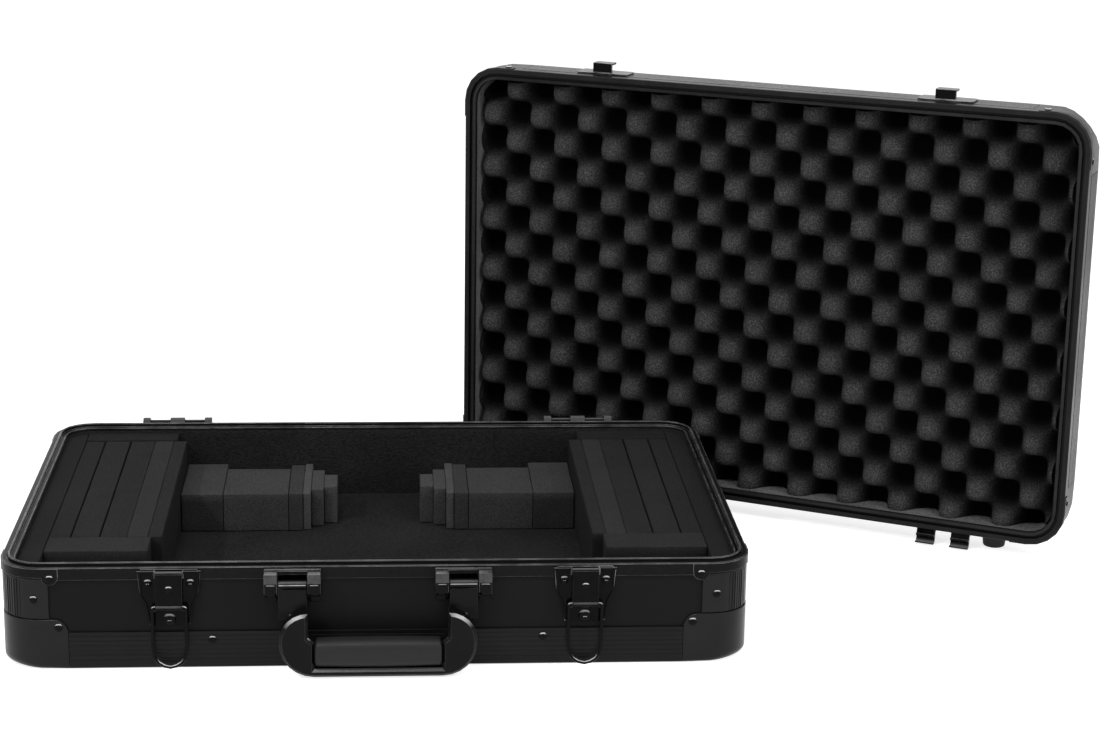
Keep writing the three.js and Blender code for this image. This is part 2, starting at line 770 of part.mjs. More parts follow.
function handleFrame() {
  const body = prism(handleOutline(), "out", -handleBackY, handleThickness - handleBackY, handleBevel, 3);
  const tabBack = handlePinY + handleTabThickness / 2;
  const tabFront = handlePinY - handleTabThickness / 2;
  const side = [
    [tabBack, handlePinZ],
    [tabBack, hornTop - 5],
    [handleBackY, hornTop - 10],
    [handleBackY - handleBevel, hornTop - 10],
    [tabFront, hornTop],
    [tabFront, handlePinZ],
  ];
  const root = [
    [handleBackY + 0.5, hornTop - 8],
    [handleBackY - 1, hornWaist],
    [handleBackY - 8, hornWaist],
    [handleBackY - 8, hornTop - 9],
    [handleBackY - handleBevel, hornTop - 5],
  ];
  const [x0, x1] = [bracketCentre - handleTabWidth / 2, bracketCentre + handleTabWidth / 2];
  const tab = join(
    prism(side, "x", x0, x1),
    prism(root, "x", x0, x0 + handleTabRoot),
    rod("x", x0, x1, handlePinY, handlePinZ, handleKnuckleRadius),
  );
  const bored = cut(tab, rod("x", x0 - 1, x1 + 1, handlePinY, handlePinZ, handlePinRadius + pinPlay));
  return join(body, bored, bored.scale([-1, 1, 1]));
}

// A padded oval grip, a little fuller in the middle
function handleGrip() {
  const middleZ = handleBottom + railHeight + seat + gripHeight / 2;
  const middleY = -(halfDepth + gripBackOut + gripDepth / 2);
  const stations = [-1, -0.96, -0.6, 0, 0.6, 0.96, 1];
  const sides = 14;
  const squared = (value) => Math.sign(value) * Math.abs(value) ** 0.75;
  const sections = stations.map((s) => {
    const swell = Math.abs(s) === 1 ? 0.9 : 1 - 0.06 * s * s;
    return Array.from({ length: sides }, (_, i) => {
      const angle = ((i + 0.5) / sides) * 2 * Math.PI;
      const y = middleY + (swell * gripDepth * squared(Math.cos(angle))) / 2;
      const z = middleZ + (swell * gripHeight * squared(Math.sin(angle))) / 2;
      return new THREE.Vector3(s * gripHalf, y, z);
    });
  });
  return loft(sections, sections[0].map(({ y, z }) => [y, z]));
}

// Latches
const leverPinY = -(plateFace + sidePlay + leverKnuckleRadius);
const rollY = -(halfDepth + rollOut);
const cheekInner = leverHalf + sidePlay;
const cheekOuter = cheekInner + cheekThickness;
const bailHalf = cheekOuter + pinPlay + wireRadius;

function latchPlate() {
  const half = [
    [latchHalfFoot, latchBottom],
    [latchHalfWaist, latchBottom + latchTaperFoot],
    [latchHalfBody, latchBottom + latchTaperTop],
    [latchHalfTop, latchTop - plateRadius],
    [latchHalfTop - plateRadius, latchTop],
  ];
  const rightSide = half.map(([x, z]) => [latchCentre + x, z]);
  const leftSide = half.map(([x, z]) => [latchCentre - x, z]).reverse();
  const narrow = latchHalfFoot - 1;
  const pad = roundedPlate(latchCentre - narrow, latchCentre + narrow, latchBottom + 1, padTop, plateRadius);
  const cheekOut = leverPinY - leverPinRadius - 0.8;
  const cheek = [
    [-plateBack, leverPinZ + cheekHeight / 2 - 1],
    [-plateBack, leverPinZ - cheekHeight / 2 - 2],
    [cheekOut, leverPinZ - cheekHeight / 2 + 1],
    [cheekOut, leverPinZ + cheekHeight / 2 - 1],
  ];
  return join(
    prism([...rightSide, ...leftSide], "out", plateBack, plateFace),
    prism(pad, "out", padBack, plateFace),
    prism(cheek, "x", latchCentre - cheekOuter, latchCentre - cheekInner),
    prism(cheek, "x", latchCentre + cheekInner, latchCentre + cheekOuter),
    rod("x", latchCentre - cheekOuter, latchCentre + cheekOuter, leverPinY, leverPinZ, leverPinRadius, 12),
  );
}

// A lever that hangs from its pin: a plate between a knuckle and the roll
function latchLever() {
  const [x0, x1] = [latchCentre - leverHalf, latchCentre + leverHalf];
  const top = leverPinY - leverKnuckleRadius;
  const foot = rollY - rollRadius;
  const side = [
    [top, leverPinZ],
    [foot, rollZ],
    [foot + leverThickness, rollZ],
    [top + leverThickness, leverPinZ],
  ];
  const whole = join(
    prism(side, "x", x0, x1),
    rod("x", x0, x1, leverPinY, leverPinZ, leverKnuckleRadius, 12),
    rod("x", x0, x1, rollY, rollZ, rollRadius),
  );
  return cut(
    whole,
    rod("x", x0 - 1, x1 + 1, leverPinY, leverPinZ, leverPinRadius + pinPlay, 12),
    rod("x", x0 - 1, x1 + 1, rollY, rollZ, wireRadius + pinPlay, 12),
  );
}

// A closed loop of round wire that hangs from the roll, with a drawn-in end
function latchBail() {
  const tailTop = bailTail - bailLength;
  const path = new THREE.Path();
  path.moveTo(-bailHalf + bailCorner, 0);
  path.lineTo(bailHalf - bailCorner, 0);
  path.quadraticCurveTo(bailHalf, 0, bailHalf, -bailCorner);
  path.lineTo(bailHalf, tailTop);
  path.bezierCurveTo(bailHalf, -bailLength + 4, bailHalf / 2, -bailLength + 1, 0, -bailLength);
  path.bezierCurveTo(-bailHalf / 2, -bailLength + 1, -bailHalf, -bailLength + 4, -bailHalf, tailTop);
  path.lineTo(-bailHalf, -bailCorner);
  path.quadraticCurveTo(-bailHalf, 0, -bailHalf + bailCorner, 0);
  const route = path.getPoints(4).slice(0, -1);
  const sides = 8;
  const sections = route.map((point, i) => {
    const before = route[(i + route.length - 1) % route.length];
    const after = route[(i + 1) % route.length];
    const arriving = point.clone().sub(before).normalize();
    const along = after.clone().sub(point).normalize().add(arriving).normalize();
    return Array.from({ length: sides }, (_, k) => {
      const angle = ((k + 0.5) / sides) * 2 * Math.PI;
      const across = wireRadius * Math.cos(angle);
      const x = latchCentre + point.x - along.y * across;
      const z = rollZ + point.y + along.x * across;
      return new THREE.Vector3(x, rollY + wireRadius * Math.sin(angle), z);
    });
  });
  return loft(sections);
}

// Lift-off hinge on the tray: a leaf, three knuckles and a rod.
// Between the knuckles the rod is bare for the lid's hooks.
const hookGap = hookWidth + 2 * hookPlay;
const hingeHalf = knuckleMiddle / 2 + hookGap + knuckleEnd;
const rodY = halfDepth + rodOut;

function baseHinge() {
  const [x0, x1] = [hingeCentre - hingeHalf, hingeCentre + hingeHalf];
  const leaf = roundedPlate(x0, x1, leafBottom, leafTop, plateRadius);
  const pad = roundedPlate(x0 + 1, x1 - 1, leafBottom + 1, padTop, plateRadius);
  const arm = [
    [plateBack, leafTop - 1.5],
    [plateBack, leafTop - 8],
    [plateFace + 1, leafTop - 8],
    [rodY + knuckleRadius * 0.7, rodZ - knuckleRadius * 0.7],
    [rodY - knuckleRadius * 0.45, rodZ + knuckleRadius * 0.85],
  ];
  const spans = [
    [x0, x0 + knuckleEnd],
    [hingeCentre - knuckleMiddle / 2, hingeCentre + knuckleMiddle / 2],
    [x1 - knuckleEnd, x1],
  ];
  const knuckles = spans.flatMap(([from, to]) => [
    prism(arm, "x", from, to),
    rod("x", from, to, rodY, rodZ, knuckleRadius),
  ]);
  return join(
    prism(leaf, "out", -plateFace, -plateBack),
    prism(pad, "out", -plateFace, -padBack),
    ...knuckles,
    rod("x", x0 + 1, x1 - 1, rodY, rodZ, rodRadius),
  );
}

// The lid's half of the hinge: a leaf with two hooks that drop over the rod when the lid goes on
const hookZ = closedHeight - rodZ;
const hookRadius = hookBoreRadius + hookThickness;

function lidHook() {
  const [left, right] = [hingeCentre - hookLeafHalf, hingeCentre + hookLeafHalf];
  const hookLeafTop = lidDepth - hookLeafDrop;
  const leaf = roundedPlate(left, right, hookLeafTop - lidPlateHeight, hookLeafTop, plateRadius);
  const strap = [
    [-plateBack, hookLeafTop - hookLap],
    [-plateBack, hookZ - hookRadius + 1],
    [-rodY + 3, hookZ - hookBoreRadius + 0.6],
    [-rodY, hookZ - hookBoreRadius],
    [-rodY, hookZ - hookRadius],
    [-plateBack - 4, hookZ - hookRadius - 1],
    [-plateBack - hookThickness, hookZ - hookRadius - 3],
    [-plateBack - hookThickness, hookLeafTop - hookLap],
  ];
  const hooks = [-1, 1].map((sign) => {
    const middle = hingeCentre + (sign * (knuckleMiddle + hookGap)) / 2;
    const [x0, x1] = [middle - hookWidth / 2, middle + hookWidth / 2];
    const above = hookZ + hookRadius + 1;
    const curl = cut(
      rod("x", x0, x1, -rodY, hookZ, hookRadius),
      box(x0 - 1, x1 + 1, -rodY - hookBoreRadius, -rodY + hookRadius + 1, hookZ, above),
      box(x0 - 1, x1 + 1, -rodY - hookRadius - 1, -rodY, hookZ + hookBoreRadius - 0.5, above),
    );
    const bore = rod("x", x0 - 1, x1 + 1, -rodY, hookZ, hookBoreRadius);
    return cut(join(curl, prism(strap, "x", x0, x1)), bore);
  });
  return join(prism(leaf, "out", plateBack, plateFace), ...hooks);
}

// The lid's half of a latch: a plate with a hook that the bail pulls on
function lidCatch() {
  const [left, right] = [latchCentre - catchHalf, latchCentre + catchHalf];
  const out = halfDepth + rollOut + wireRadius + pinPlay;
  const webZ = closedHeight - rollZ - bailLength + wireRadius + pinPlay;
  const plateTop = webZ + catchPlateMargin;
  const plate = roundedPlate(left, right, plateTop - lidPlateHeight, plateTop, plateRadius);
  const [x0, x1] = [latchCentre - catchHookHalf, latchCentre + catchHookHalf];
  const web = box(x0, x1, plateBack, out + catchHookThickness, webZ, webZ + catchHookThickness);
  const tipFoot = webZ + catchHookThickness - catchHookLength;
  const tip = box(x0, x1, out, out + catchHookThickness, tipFoot, webZ + 1);
  return join(prism(plate, "out", -plateFace, -plateBack), web, tip);
}

// A rubber foot, drawn along +Y from its seat, with a recess for its screw
function rubberFoot() {
  const profile = [
    [0, seat],
    [footRadius, seat],
    [footRadius, 3],
    [footTipRadius, footHeight - 1],
    [footTipRadius - 1, footHeight],
    [footRecessRadius, footHeight],
    [footRecessRadius, footHeight - footRecessDepth],
    [0, footHeight - footRecessDepth],
  ];
  return toSolid(new THREE.LatheGeometry(profile.map(([r, y]) => new THREE.Vector2(r, y)), roundSides));
}

// Scene graph
const flightCase = new THREE.Group();
const lid = new THREE.Group();
const lidTurned = new THREE.Group();

function add(group, name, geometry, material, scale = [1, 1]) {
  const mesh = new THREE.Mesh(geometry, material);
  mesh.name = name;
  mesh.scale.set(scale[0], scale[1], 1);
  group.add(mesh);
  return mesh;
}

// A piece drawn at the right, and its mirror image at the left
function addPair(group, name, solid, material) {
  const geometry = toGeometry(solid);
  add(group, `${name}_left`, geometry, material, [-1, 1]);
  add(group, `${name}_right`, geometry, material);
}

function addCorners(group, name, solid, material, signs) {
  const geometry = toGeometry(solid);
  for (const where of Object.keys(signs)) add(group, `${name}_${where}`, geometry, material, signs[where]);
}

// The lid's front edge, with the catches, is at +Y in the lid's own tray
const baseCorners = { front_left: [-1, -1], front_right: [1, -1], rear_left: [-1, 1], rear_right: [1, 1] };
const lidCorners = { front_left: [-1, 1], front_right: [1, 1], rear_left: [-1, -1], rear_right: [1, -1] };

const panel = toGeometry(outsidePanel());
const lidEdgeHeight = rimFootLid - lidEdgeGap;
const [baseAcrossEdge, baseSideEdge] = [rearEdge(baseEdgeHeight), rightEdge(baseEdgeHeight)].map(toGeometry);
const [lidAcrossEdge, lidSideEdge] = [rearEdge(lidEdgeHeight), rightEdge(lidEdgeHeight)].map(toGeometry);
const acrossWall = toGeometry(rearWall());

add(flightCase, "base_floor_panel", panel, blackPanel);
add(flightCase, "base_wall_rear", acrossWall, blackPanel);
add(flightCase, "base_wall_front", acrossWall, blackPanel, [1, -1]);
addPair(flightCase, "base_wall", rightWall(), blackPanel);
add(flightCase, "base_rim", toGeometry(baseRim()), anodised);
add(flightCase, "base_edge_rear", baseAcrossEdge, anodised);
add(flightCase, "base_edge_front", baseAcrossEdge, anodised, [1, -1]);
add(flightCase, "base_edge_left", baseSideEdge, anodised, [-1, 1]);
add(flightCase, "base_edge_right", baseSideEdge, anodised);
addCorners(flightCase, "base_post", cornerPost(), capMetal, baseCorners);
addCorners(flightCase, "base_cap", cornerCap(baseCapHeight, baseEdgeHeight), capMetal, baseCorners);
add(flightCase, "base_lining", toGeometry(lining()), felt);
const floorMat = slab(insideInset + seat, wallFoot, wallFoot + matThickness);
add(flightCase, "base_floor_mat", toGeometry(floorMat), felt);

addPair(flightCase, "foam_end", foamEnd(), greyFoam);
const outerOutside = middleInner - seat;
const middleOutside = outerOutside - outerBlockLength - seat;
const noseOutside = middleOutside - middleBlockLength - seat;
const outerBlock = foamBlock(outerOutside, outerBlockLength, outerBlockRear);
const middleBlock = foamBlock(middleOutside, middleBlockLength, middleBlockRear);
addPair(flightCase, "foam_block_outer", outerBlock, greyFoam);
addPair(flightCase, "foam_block_middle", middleBlock, greyFoam);
addPair(flightCase, "foam_block_nose", foamNose(noseOutside), greyFoam);

addPair(flightCase, "handle_bracket", handleBracket(), hardware);
add(flightCase, "handle_frame", toGeometry(handleFrame()), hardware);
add(flightCase, "handle_grip", toGeometry(handleGrip()), plastic);
addPair(flightCase, "latch_plate", latchPlate(), hardware);
addPair(flightCase, "latch_lever", latchLever(), hardware);
addPair(flightCase, "latch_bail", latchBail(), hardware);
addPair(flightCase, "base_hinge", baseHinge(), hardware);

const foot = toGeometry(rubberFoot());
for (const [side, sign] of [["left", -1], ["right", 1]]) {
  add(flightCase, `base_foot_${side}`, foot, rubber).position.set(sign * footCentre, halfDepth, footZ);
  add(lid, `lid_foot_${side}`, foot, rubber, [1, -1]).position.set(sign * footCentre, -halfDepth, footZ);
}

add(lid, "lid_top_panel", panel, blackPanel);
add(lid, "lid_wall_frame", toGeometry(lidWall()), blackPanel);
add(lid, "lid_rim", toGeometry(lidRim()), anodised);
add(lid, "lid_edge_front", lidAcrossEdge, anodised);
add(lid, "lid_edge_rear", lidAcrossEdge, anodised, [1, -1]);
add(lid, "lid_edge_left", lidSideEdge, anodised, [-1, 1]);
add(lid, "lid_edge_right", lidSideEdge, anodised);
addCorners(lid, "lid_cap", cornerCap(rimFootLid - seat, lidEdgeHeight), capMetal, lidCorners);
add(lid, "lid_foam", toGeometry(lidFoam()), greyFoam);
addPair(lid, "lid_catch", lidCatch(), hardware);
addPair(lid, "lid_hook", lidHook(), hardware);

// The lid stands on its rear feet with its open side to the front, turned to the right.
// It is clear of the tray's rear right corner and of the foot there.
const turn = THREE.MathUtils.degToRad(lidTurn);
const along = new THREE.Vector2(Math.cos(turn), -Math.sin(turn));
const behind = new THREE.Vector2(Math.sin(turn), Math.cos(turn));
const corner = new THREE.Vector2(halfWidth - cornerRadius, halfDepth - cornerRadius);
const footEnd = new THREE.Vector2(footCentre + footRadius, halfDepth + footHeight);
const reach = Math.max(corner.dot(behind) + cornerRadius + clipThickness, footEnd.dot(behind));
const lidPlace = along.clone().multiplyScalar(corner.dot(along) + lidShift);
lidPlace.addScaledVector(behind, reach + lidGap + lidDepth);
lid.rotation.x = Math.PI / 2;
lidTurned.add(lid);
lidTurned.rotation.z = -turn;
lidTurned.position.set(lidPlace.x, lidPlace.y, halfDepth + footHeight);
flightCase.add(lidTurned);

export default flightCase;
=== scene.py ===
import math

import bpy
import bmesh
import numpy as np
from mathutils import Matrix, Vector, noise


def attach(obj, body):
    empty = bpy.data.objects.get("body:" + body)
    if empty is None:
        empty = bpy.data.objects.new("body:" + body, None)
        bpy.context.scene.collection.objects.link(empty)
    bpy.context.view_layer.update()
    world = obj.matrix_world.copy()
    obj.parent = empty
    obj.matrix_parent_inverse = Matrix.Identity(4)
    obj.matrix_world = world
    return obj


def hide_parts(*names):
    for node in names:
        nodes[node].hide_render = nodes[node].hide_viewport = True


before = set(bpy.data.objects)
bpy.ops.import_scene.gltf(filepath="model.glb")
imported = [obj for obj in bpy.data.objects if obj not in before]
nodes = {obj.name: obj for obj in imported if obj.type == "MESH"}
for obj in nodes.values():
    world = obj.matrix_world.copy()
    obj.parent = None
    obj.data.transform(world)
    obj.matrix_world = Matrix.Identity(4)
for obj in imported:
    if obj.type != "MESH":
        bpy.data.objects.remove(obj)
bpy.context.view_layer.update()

MM = 0.001

# Unless it is seeded, noise_vector takes its offsets from the clock and no two runs are the same
NOISE_SEED = 1
noise.seed_set(NOISE_SEED)

# Sizes of the case, in millimetres. SOFT_GAP is the room round foam and mat, and CLIP_PROUD how far
# the clips at the rim's corners stand out.
HALF_X, HALF_Y = 330.0, 218.0
CORNER = 36.0
BASE_HEIGHT = 94.0
FLOOR = 6.3
LINING_FACE = 12.0
LINING_BACK = 8.6
LINING_TOP = 90.7
FOAM_TOP = 87.0
MAT_TOP = 20.9
FOAM_FOOT = 21.3
BLOCK_TOP = 60.0
SOFT_GAP = 0.3
CLIP_PROUD = 0.9

# Where the lid stands: turned, and clear of the tray's rear right corner
LID_TURN = math.radians(27.2)
LID_GAP = 2.5
LID_SHIFT = 83.0
LID_DEPTH = 48.0
LID_MIDDLE = 234.0
LID_LEFT = Vector((math.cos(LID_TURN), -math.sin(LID_TURN), 0))
LID_BACK = Vector((math.sin(LID_TURN), math.cos(LID_TURN), 0))
TRAY_CORNER = Vector((HALF_X - CORNER, HALF_Y - CORNER, 0))
LID_ORIGIN = (
    (TRAY_CORNER.dot(LID_LEFT) + LID_SHIFT) * LID_LEFT
    + (TRAY_CORNER.dot(LID_BACK) + CORNER + CLIP_PROUD + LID_GAP + LID_DEPTH) * LID_BACK
    + Vector((0, 0, LID_MIDDLE))
)
LID_PLACE = Matrix(
    (
        (LID_LEFT.x, 0, -LID_BACK.x, LID_ORIGIN.x),
        (LID_LEFT.y, 0, -LID_BACK.y, LID_ORIGIN.y),
        (0, 1, 0, LID_ORIGIN.z),
        (0, 0, 0, 1),
    )
)


# Materials
class Finish:
    """A material's node tree, with short ways to add and join nodes."""

    def __init__(self, name, colour, roughness, specular):
        self.material = bpy.data.materials.new(name)
        self.material.use_nodes = True
        self.tree = self.material.node_tree
        self.shader = self.tree.nodes["Principled BSDF"]
        self.shader.inputs["Base Color"].default_value = (*colour, 1)
        self.shader.inputs["Roughness"].default_value = roughness
        self.shader.inputs["Specular IOR Level"].default_value = specular
        self.coords = self.add("ShaderNodeTexCoord").outputs["Object"]

    def add(self, kind, settings=None, **inputs):
        node = self.tree.nodes.new(kind)
        for key, value in (settings or {}).items():
            setattr(node, key, value)
        for key, value in inputs.items():
            socket = node.inputs[key.replace("_", " ")]
            if isinstance(value, bpy.types.NodeSocket):
                self.tree.links.new(value, socket)
            else:
                socket.default_value = value
        return node

    def scaled(self, scale, turn=0.0):
        mapping = self.add("ShaderNodeMapping", Vector=self.coords, Scale=scale)
        mapping.inputs["Rotation"].default_value = (0, 0, turn)
        return mapping.outputs["Vector"]

    def noise(self, scale, detail=2.0, roughness=0.5, vector=None):
        node = self.add(
            "ShaderNodeTexNoise",
            Vector=vector or self.coords,
            Scale=scale,
            Detail=detail,
            Roughness=roughness,
        )
        return node.outputs["Fac"]

    def upward(self, low, high):
        """0 to 1 where the surface faces up along the object's own Z, and the normal's three parts."""
        normal = self.add("ShaderNodeTexCoord").outputs["Normal"]
        split = self.add("ShaderNodeSeparateXYZ", Vector=normal)
        return self.spread(split.outputs["Z"], low, high, 0.0, 1.0), split

    def grey(self, value):
        return self.add("ShaderNodeCombineColor", Red=value, Green=value, Blue=value).outputs["Color"]

    def cells(self, scale):
        return self.add("ShaderNodeTexVoronoi", Vector=self.coords, Scale=scale).outputs["Distance"]

    def spread(self, value, low, high, to_low, to_high):
        node = self.add("ShaderNodeMapRange", Value=value)
        ends = {"From Min": low, "From Max": high, "To Min": to_low, "To Max": to_high}
        for key, number in ends.items():
            node.inputs[key].default_value = number
        return node.outputs["Result"]

    def maths(self, operation, a, b):
        node = self.add("ShaderNodeMath", {"operation": operation})
        for socket, value in zip(node.inputs, (a, b)):
            if isinstance(value, bpy.types.NodeSocket):
                self.tree.links.new(value, socket)
            else:
                socket.default_value = value
        return node.outputs["Value"]

    def shades(self, value, *stops):
        node = self.add("ShaderNodeValToRGB", Fac=value)
        ramp = node.color_ramp
        while len(ramp.elements) < len(stops):
            ramp.elements.new(0.5)
        for element, (position, grey) in zip(ramp.elements, stops):
            element.position = position
            element.color = (grey, grey, grey * 1.02, 1)
        return node.outputs["Color"]

    def times(self, colour, factor):
        node = self.add("ShaderNodeVectorMath", {"operation": "SCALE"}, Vector=colour, Scale=factor)
        return node.outputs["Vector"]

    def bump(self, height, strength, distance):
        node = self.add("ShaderNodeBump", Height=height, Strength=strength, Distance=distance)
        self.tree.links.new(node.outputs["Normal"], self.shader.inputs["Normal"])

    def feed(self, socket, value):
        self.tree.links.new(value, self.shader.inputs[socket])


def panel_finish():
    m = Finish("black_laminate", (0.007, 0.007, 0.0072), 0.42, specular=0.06)
    grain = m.noise(1400, 3)
    patches = m.noise(9, 3)
    m.feed("Base Color", m.shades(patches, (0.3, 0.006), (0.7, 0.0082)))
    dull = m.spread(patches, 0.3, 0.7, 0.34, 0.46)
    m.feed("Roughness", m.maths("ADD", dull, m.spread(grain, 0.3, 0.7, -0.03, 0.03)))
    m.bump(grain, 0.22, 0.0003)
    return m.material


def anodised_finish(name, along, turn=0.0, specular=0.09):
    """Anodised extrusion: fine draw lines along the piece."""
    m = Finish(name, (0.009, 0.009, 0.0092), 0.3, specular=specular)
    scale = {"x": (6, 900, 900), "y": (900, 6, 900), "z": (900, 900, 6)}[along]
    lines = m.noise(1.0, 3, vector=m.scaled(scale, turn))
    patches = m.noise(14, 2)
    m.feed("Base Color", m.shades(lines, (0.25, 0.006), (0.75, 0.011)))
    dull = m.spread(lines, 0.3, 0.7, 0.22, 0.34)
    m.feed("Roughness", m.maths("ADD", dull, m.spread(patches, 0.3, 0.7, -0.04, 0.05)))
    m.bump(lines, 0.12, 0.0002)
    return m.material


def rim_finish(name, face, bands):
    """Anodised rim with painted highlights, thin lighter bands on its lands and the tongue's top. face
    is a direction and a level along it in millimetres, and each band is (from, to, grey) beyond that
    level."""
    m = Finish(name, (0.006, 0.006, 0.0062), 0.24, specular=0.06)
    along, at = face
    depth = m.add("ShaderNodeVectorMath", {"operation": "DOT_PRODUCT"})
    m.tree.links.new(m.coords, depth.inputs[0])
    depth.inputs[1].default_value = along
    height = m.maths("SUBTRACT", depth.outputs["Value"], at * MM)
    colour = m.spread(m.noise(1.0, 3, vector=m.scaled((400, 400, 400))), 0.3, 0.7, 0.0045, 0.007)
    # Each band adds a painted highlight: a lighter grey standing in for light caught on a land or the
    # tongue's top.
    for low, high, grey in bands:
        above = m.maths("GREATER_THAN", height, low * MM)
        below = m.maths("LESS_THAN", height, high * MM)
        painted_highlight_band = m.spread(m.noise(55, 3), 0.3, 0.65, 0.55 * grey, grey)
        colour = m.maths("ADD", colour, m.maths("MULTIPLY", m.maths("MULTIPLY", above, below), painted_highlight_band))
    m.feed("Base Color", m.grey(colour))
    m.feed("Roughness", m.spread(m.noise(14, 2), 0.3, 0.7, 0.22, 0.34))
    return m.material


def corner_finish():
    m = Finish("corner_enamel", (0.01, 0.01, 0.0104), 0.3, specular=0.13)
    peel = m.noise(650, 2)
    patches = m.noise(22, 4)
    scuffs = m.noise(1.0, 4, vector=m.scaled((30, 30, 420)))
    m.feed("Base Color", m.shades(patches, (0.3, 0.0075), (0.75, 0.0115)))
    dull = m.spread(patches, 0.3, 0.7, 0.27, 0.38)
    m.feed("Roughness", m.maths("ADD", dull, m.spread(scuffs, 0.55, 0.75, 0, 0.1)))
    m.bump(peel, 0.16, 0.0003)
    return m.material


def hardware_finish():
    m = Finish("gloss_black_plating", (0.002, 0.002, 0.0021), 0.1, specular=0.05)
    smears = m.noise(120, 4)
    m.feed("Roughness", m.spread(smears, 0.3, 0.72, 0.07, 0.17))
    # Painted light: upward faces get a lighter base colour, as if lit from above.
    up, _ = m.upward(0.45, 0.85)
    plain = m.spread(smears, 0.3, 0.8, 0.0015, 0.004)
    m.feed("Base Color", m.grey(m.maths("ADD", plain, m.maths("MULTIPLY", up, 0.09))))
    m.bump(m.noise(420, 2), 0.06, 0.0003)
    return m.material


def painted_light_finish():
    """The same plating painted lighter, a painted highlight standing in for light caught on the
    bracket covers and the levers' beads.
    """
    m = Finish("painted_light_plating", (0.03, 0.03, 0.031), 0.3, specular=0.3)
    light_mottle = m.noise(90, 4)
    m.feed("Base Color", m.shades(light_mottle, (0.3, 0.022), (0.7, 0.055)))
    m.feed("Roughness", m.spread(light_mottle, 0.3, 0.7, 0.22, 0.36))
    m.bump(m.noise(500, 2), 0.06, 0.0003)
    return m.material


def edge_finish(name, low, high):
    """A painted highlight for bevelled edges: a lighter grey in patches, standing in for light caught
    on them.
    """
    m = Finish(name, (0.5 * (low + high),) * 3, 0.3, specular=0.5)
    m.feed("Base Color", m.shades(m.noise(60, 4), (0.35, low), (0.65, high)))
    return m.material


def bright_finish():
    """Black plating with a painted highlight: lighter on the upper, sloping side of heads, wires and
    cheeks.
    """
    m = Finish("painted_highlight_plating", (0.003, 0.003, 0.0032), 0.12, specular=0.06)
    up, faces = m.upward(0.4, 0.75)
    up = m.maths("MULTIPLY", up, m.spread(faces.outputs["Z"], 0.85, 0.97, 1.0, 0.06))
    # Painted highlight: the base colour is lighter where the surface slopes upward, fading on faces
    # that point straight up.
    painted_highlight = m.maths("MULTIPLY", up, m.spread(m.noise(28, 3), 0.3, 0.65, 0.45, 0.8))
    m.feed("Base Color", m.grey(m.maths("ADD", painted_highlight, 0.003)))
    m.feed("Roughness", m.spread(m.noise(200, 3), 0.3, 0.7, 0.08, 0.18))
    return m.material


def horn_finish():
    m = Finish("moulded_black", (0.004, 0.004, 0.0042), 0.2, specular=0.08)
    texture = m.noise(900, 3)
    # Painted highlight: a lighter base colour where the surface faces up, to the front and sideways,
    # as on the horns' shoulder edges.
    up, faces = m.upward(0.36, 0.6)
    painted_highlight = m.maths("MULTIPLY", up, m.maths("LESS_THAN", faces.outputs["Y"], -0.5))
    sideways = m.spread(m.maths("ABSOLUTE", faces.outputs["X"], 0.0), 0.08, 0.22, 0.06, 0.4)
    painted_highlight = m.maths("MULTIPLY", painted_highlight, sideways)
    plain = m.spread(m.noise(30, 3), 0.3, 0.7, 0.003, 0.005)
    m.feed("Base Color", m.grey(m.maths("ADD", painted_highlight, plain)))
    m.feed("Roughness", m.spread(texture, 0.3, 0.7, 0.16, 0.26))
    m.bump(texture, 0.08, 0.0002)
    return m.material


def grip_finish():
    m = Finish("grip_vinyl", (0.013, 0.013, 0.0134), 0.44, specular=0.17)
    grain = m.cells(1500)
    m.feed("Roughness", m.spread(m.noise(60, 3), 0.3, 0.7, 0.38, 0.5))
    m.feed("Base Color", m.shades(grain, (0.1, 0.011), (0.7, 0.017)))
    m.bump(grain, 0.12, 0.0003)
    return m.material


def rubber_finish():
    m = Finish("foot_rubber", (0.011, 0.011, 0.011), 0.7, specular=0.3)
    grain = m.noise(900, 4, 0.7)
    m.feed("Base Color", m.shades(grain, (0.3, 0.008), (0.7, 0.014)))
    m.feed("Roughness", m.spread(grain, 0.3, 0.7, 0.6, 0.8))
    m.bump(grain, 0.3, 0.0004)
    return m.material


def foam_finish(name, base, contrast, pore_scale, depth):
    """Open-cell foam. The tone attribute of a piece makes its strips and blocks lighter or darker."""
    m = Finish(name, (base,) * 3, 0.95, specular=0.04)
    pores = m.cells(pore_scale)
    grain = m.noise(pore_scale * 1.3, 3, 0.7)
    mixed = m.maths("ADD", m.spread(pores, 0.05, 0.75, 0.15, 0.6), m.spread(grain, 0.3, 0.7, 0, 0.5))
    dark, light = base * (1 - contrast), base * (1 + 1.8 * contrast)
    colour = m.shades(mixed, (0.2, dark), (0.62, base), (1.0, light))
    tone = m.add("ShaderNodeAttribute", {"attribute_name": "tone"}).outputs["Fac"]
    soft = m.spread(m.noise(18, 3), 0.3, 0.7, 0.92, 1.08)
    m.feed("Base Color", m.times(m.times(colour, tone), soft))
    m.bump(mixed, 0.8, depth)
    return m.material


def felt_finish(name, grey):
    m = Finish(name, (grey,) * 3, 0.95, specular=0.04)
    one = m.noise(1.0, 3, 0.6, m.scaled((260, 1500, 900), 0.5))
    two = m.noise(1.0, 3, 0.6, m.scaled((1500, 300, 900), -0.4))
    fibres = m.maths("ADD", one, two)
    clouds = m.noise(10, 4)
    colour = m.shades(fibres, (0.75, 0.6 * grey), (1.0, grey), (1.0, 1.6 * grey))
    m.feed("Base Color", m.times(colour, m.spread(clouds, 0.3, 0.7, 0.8, 1.25)))
    m.bump(fibres, 0.5, 0.0006)
    return m.material


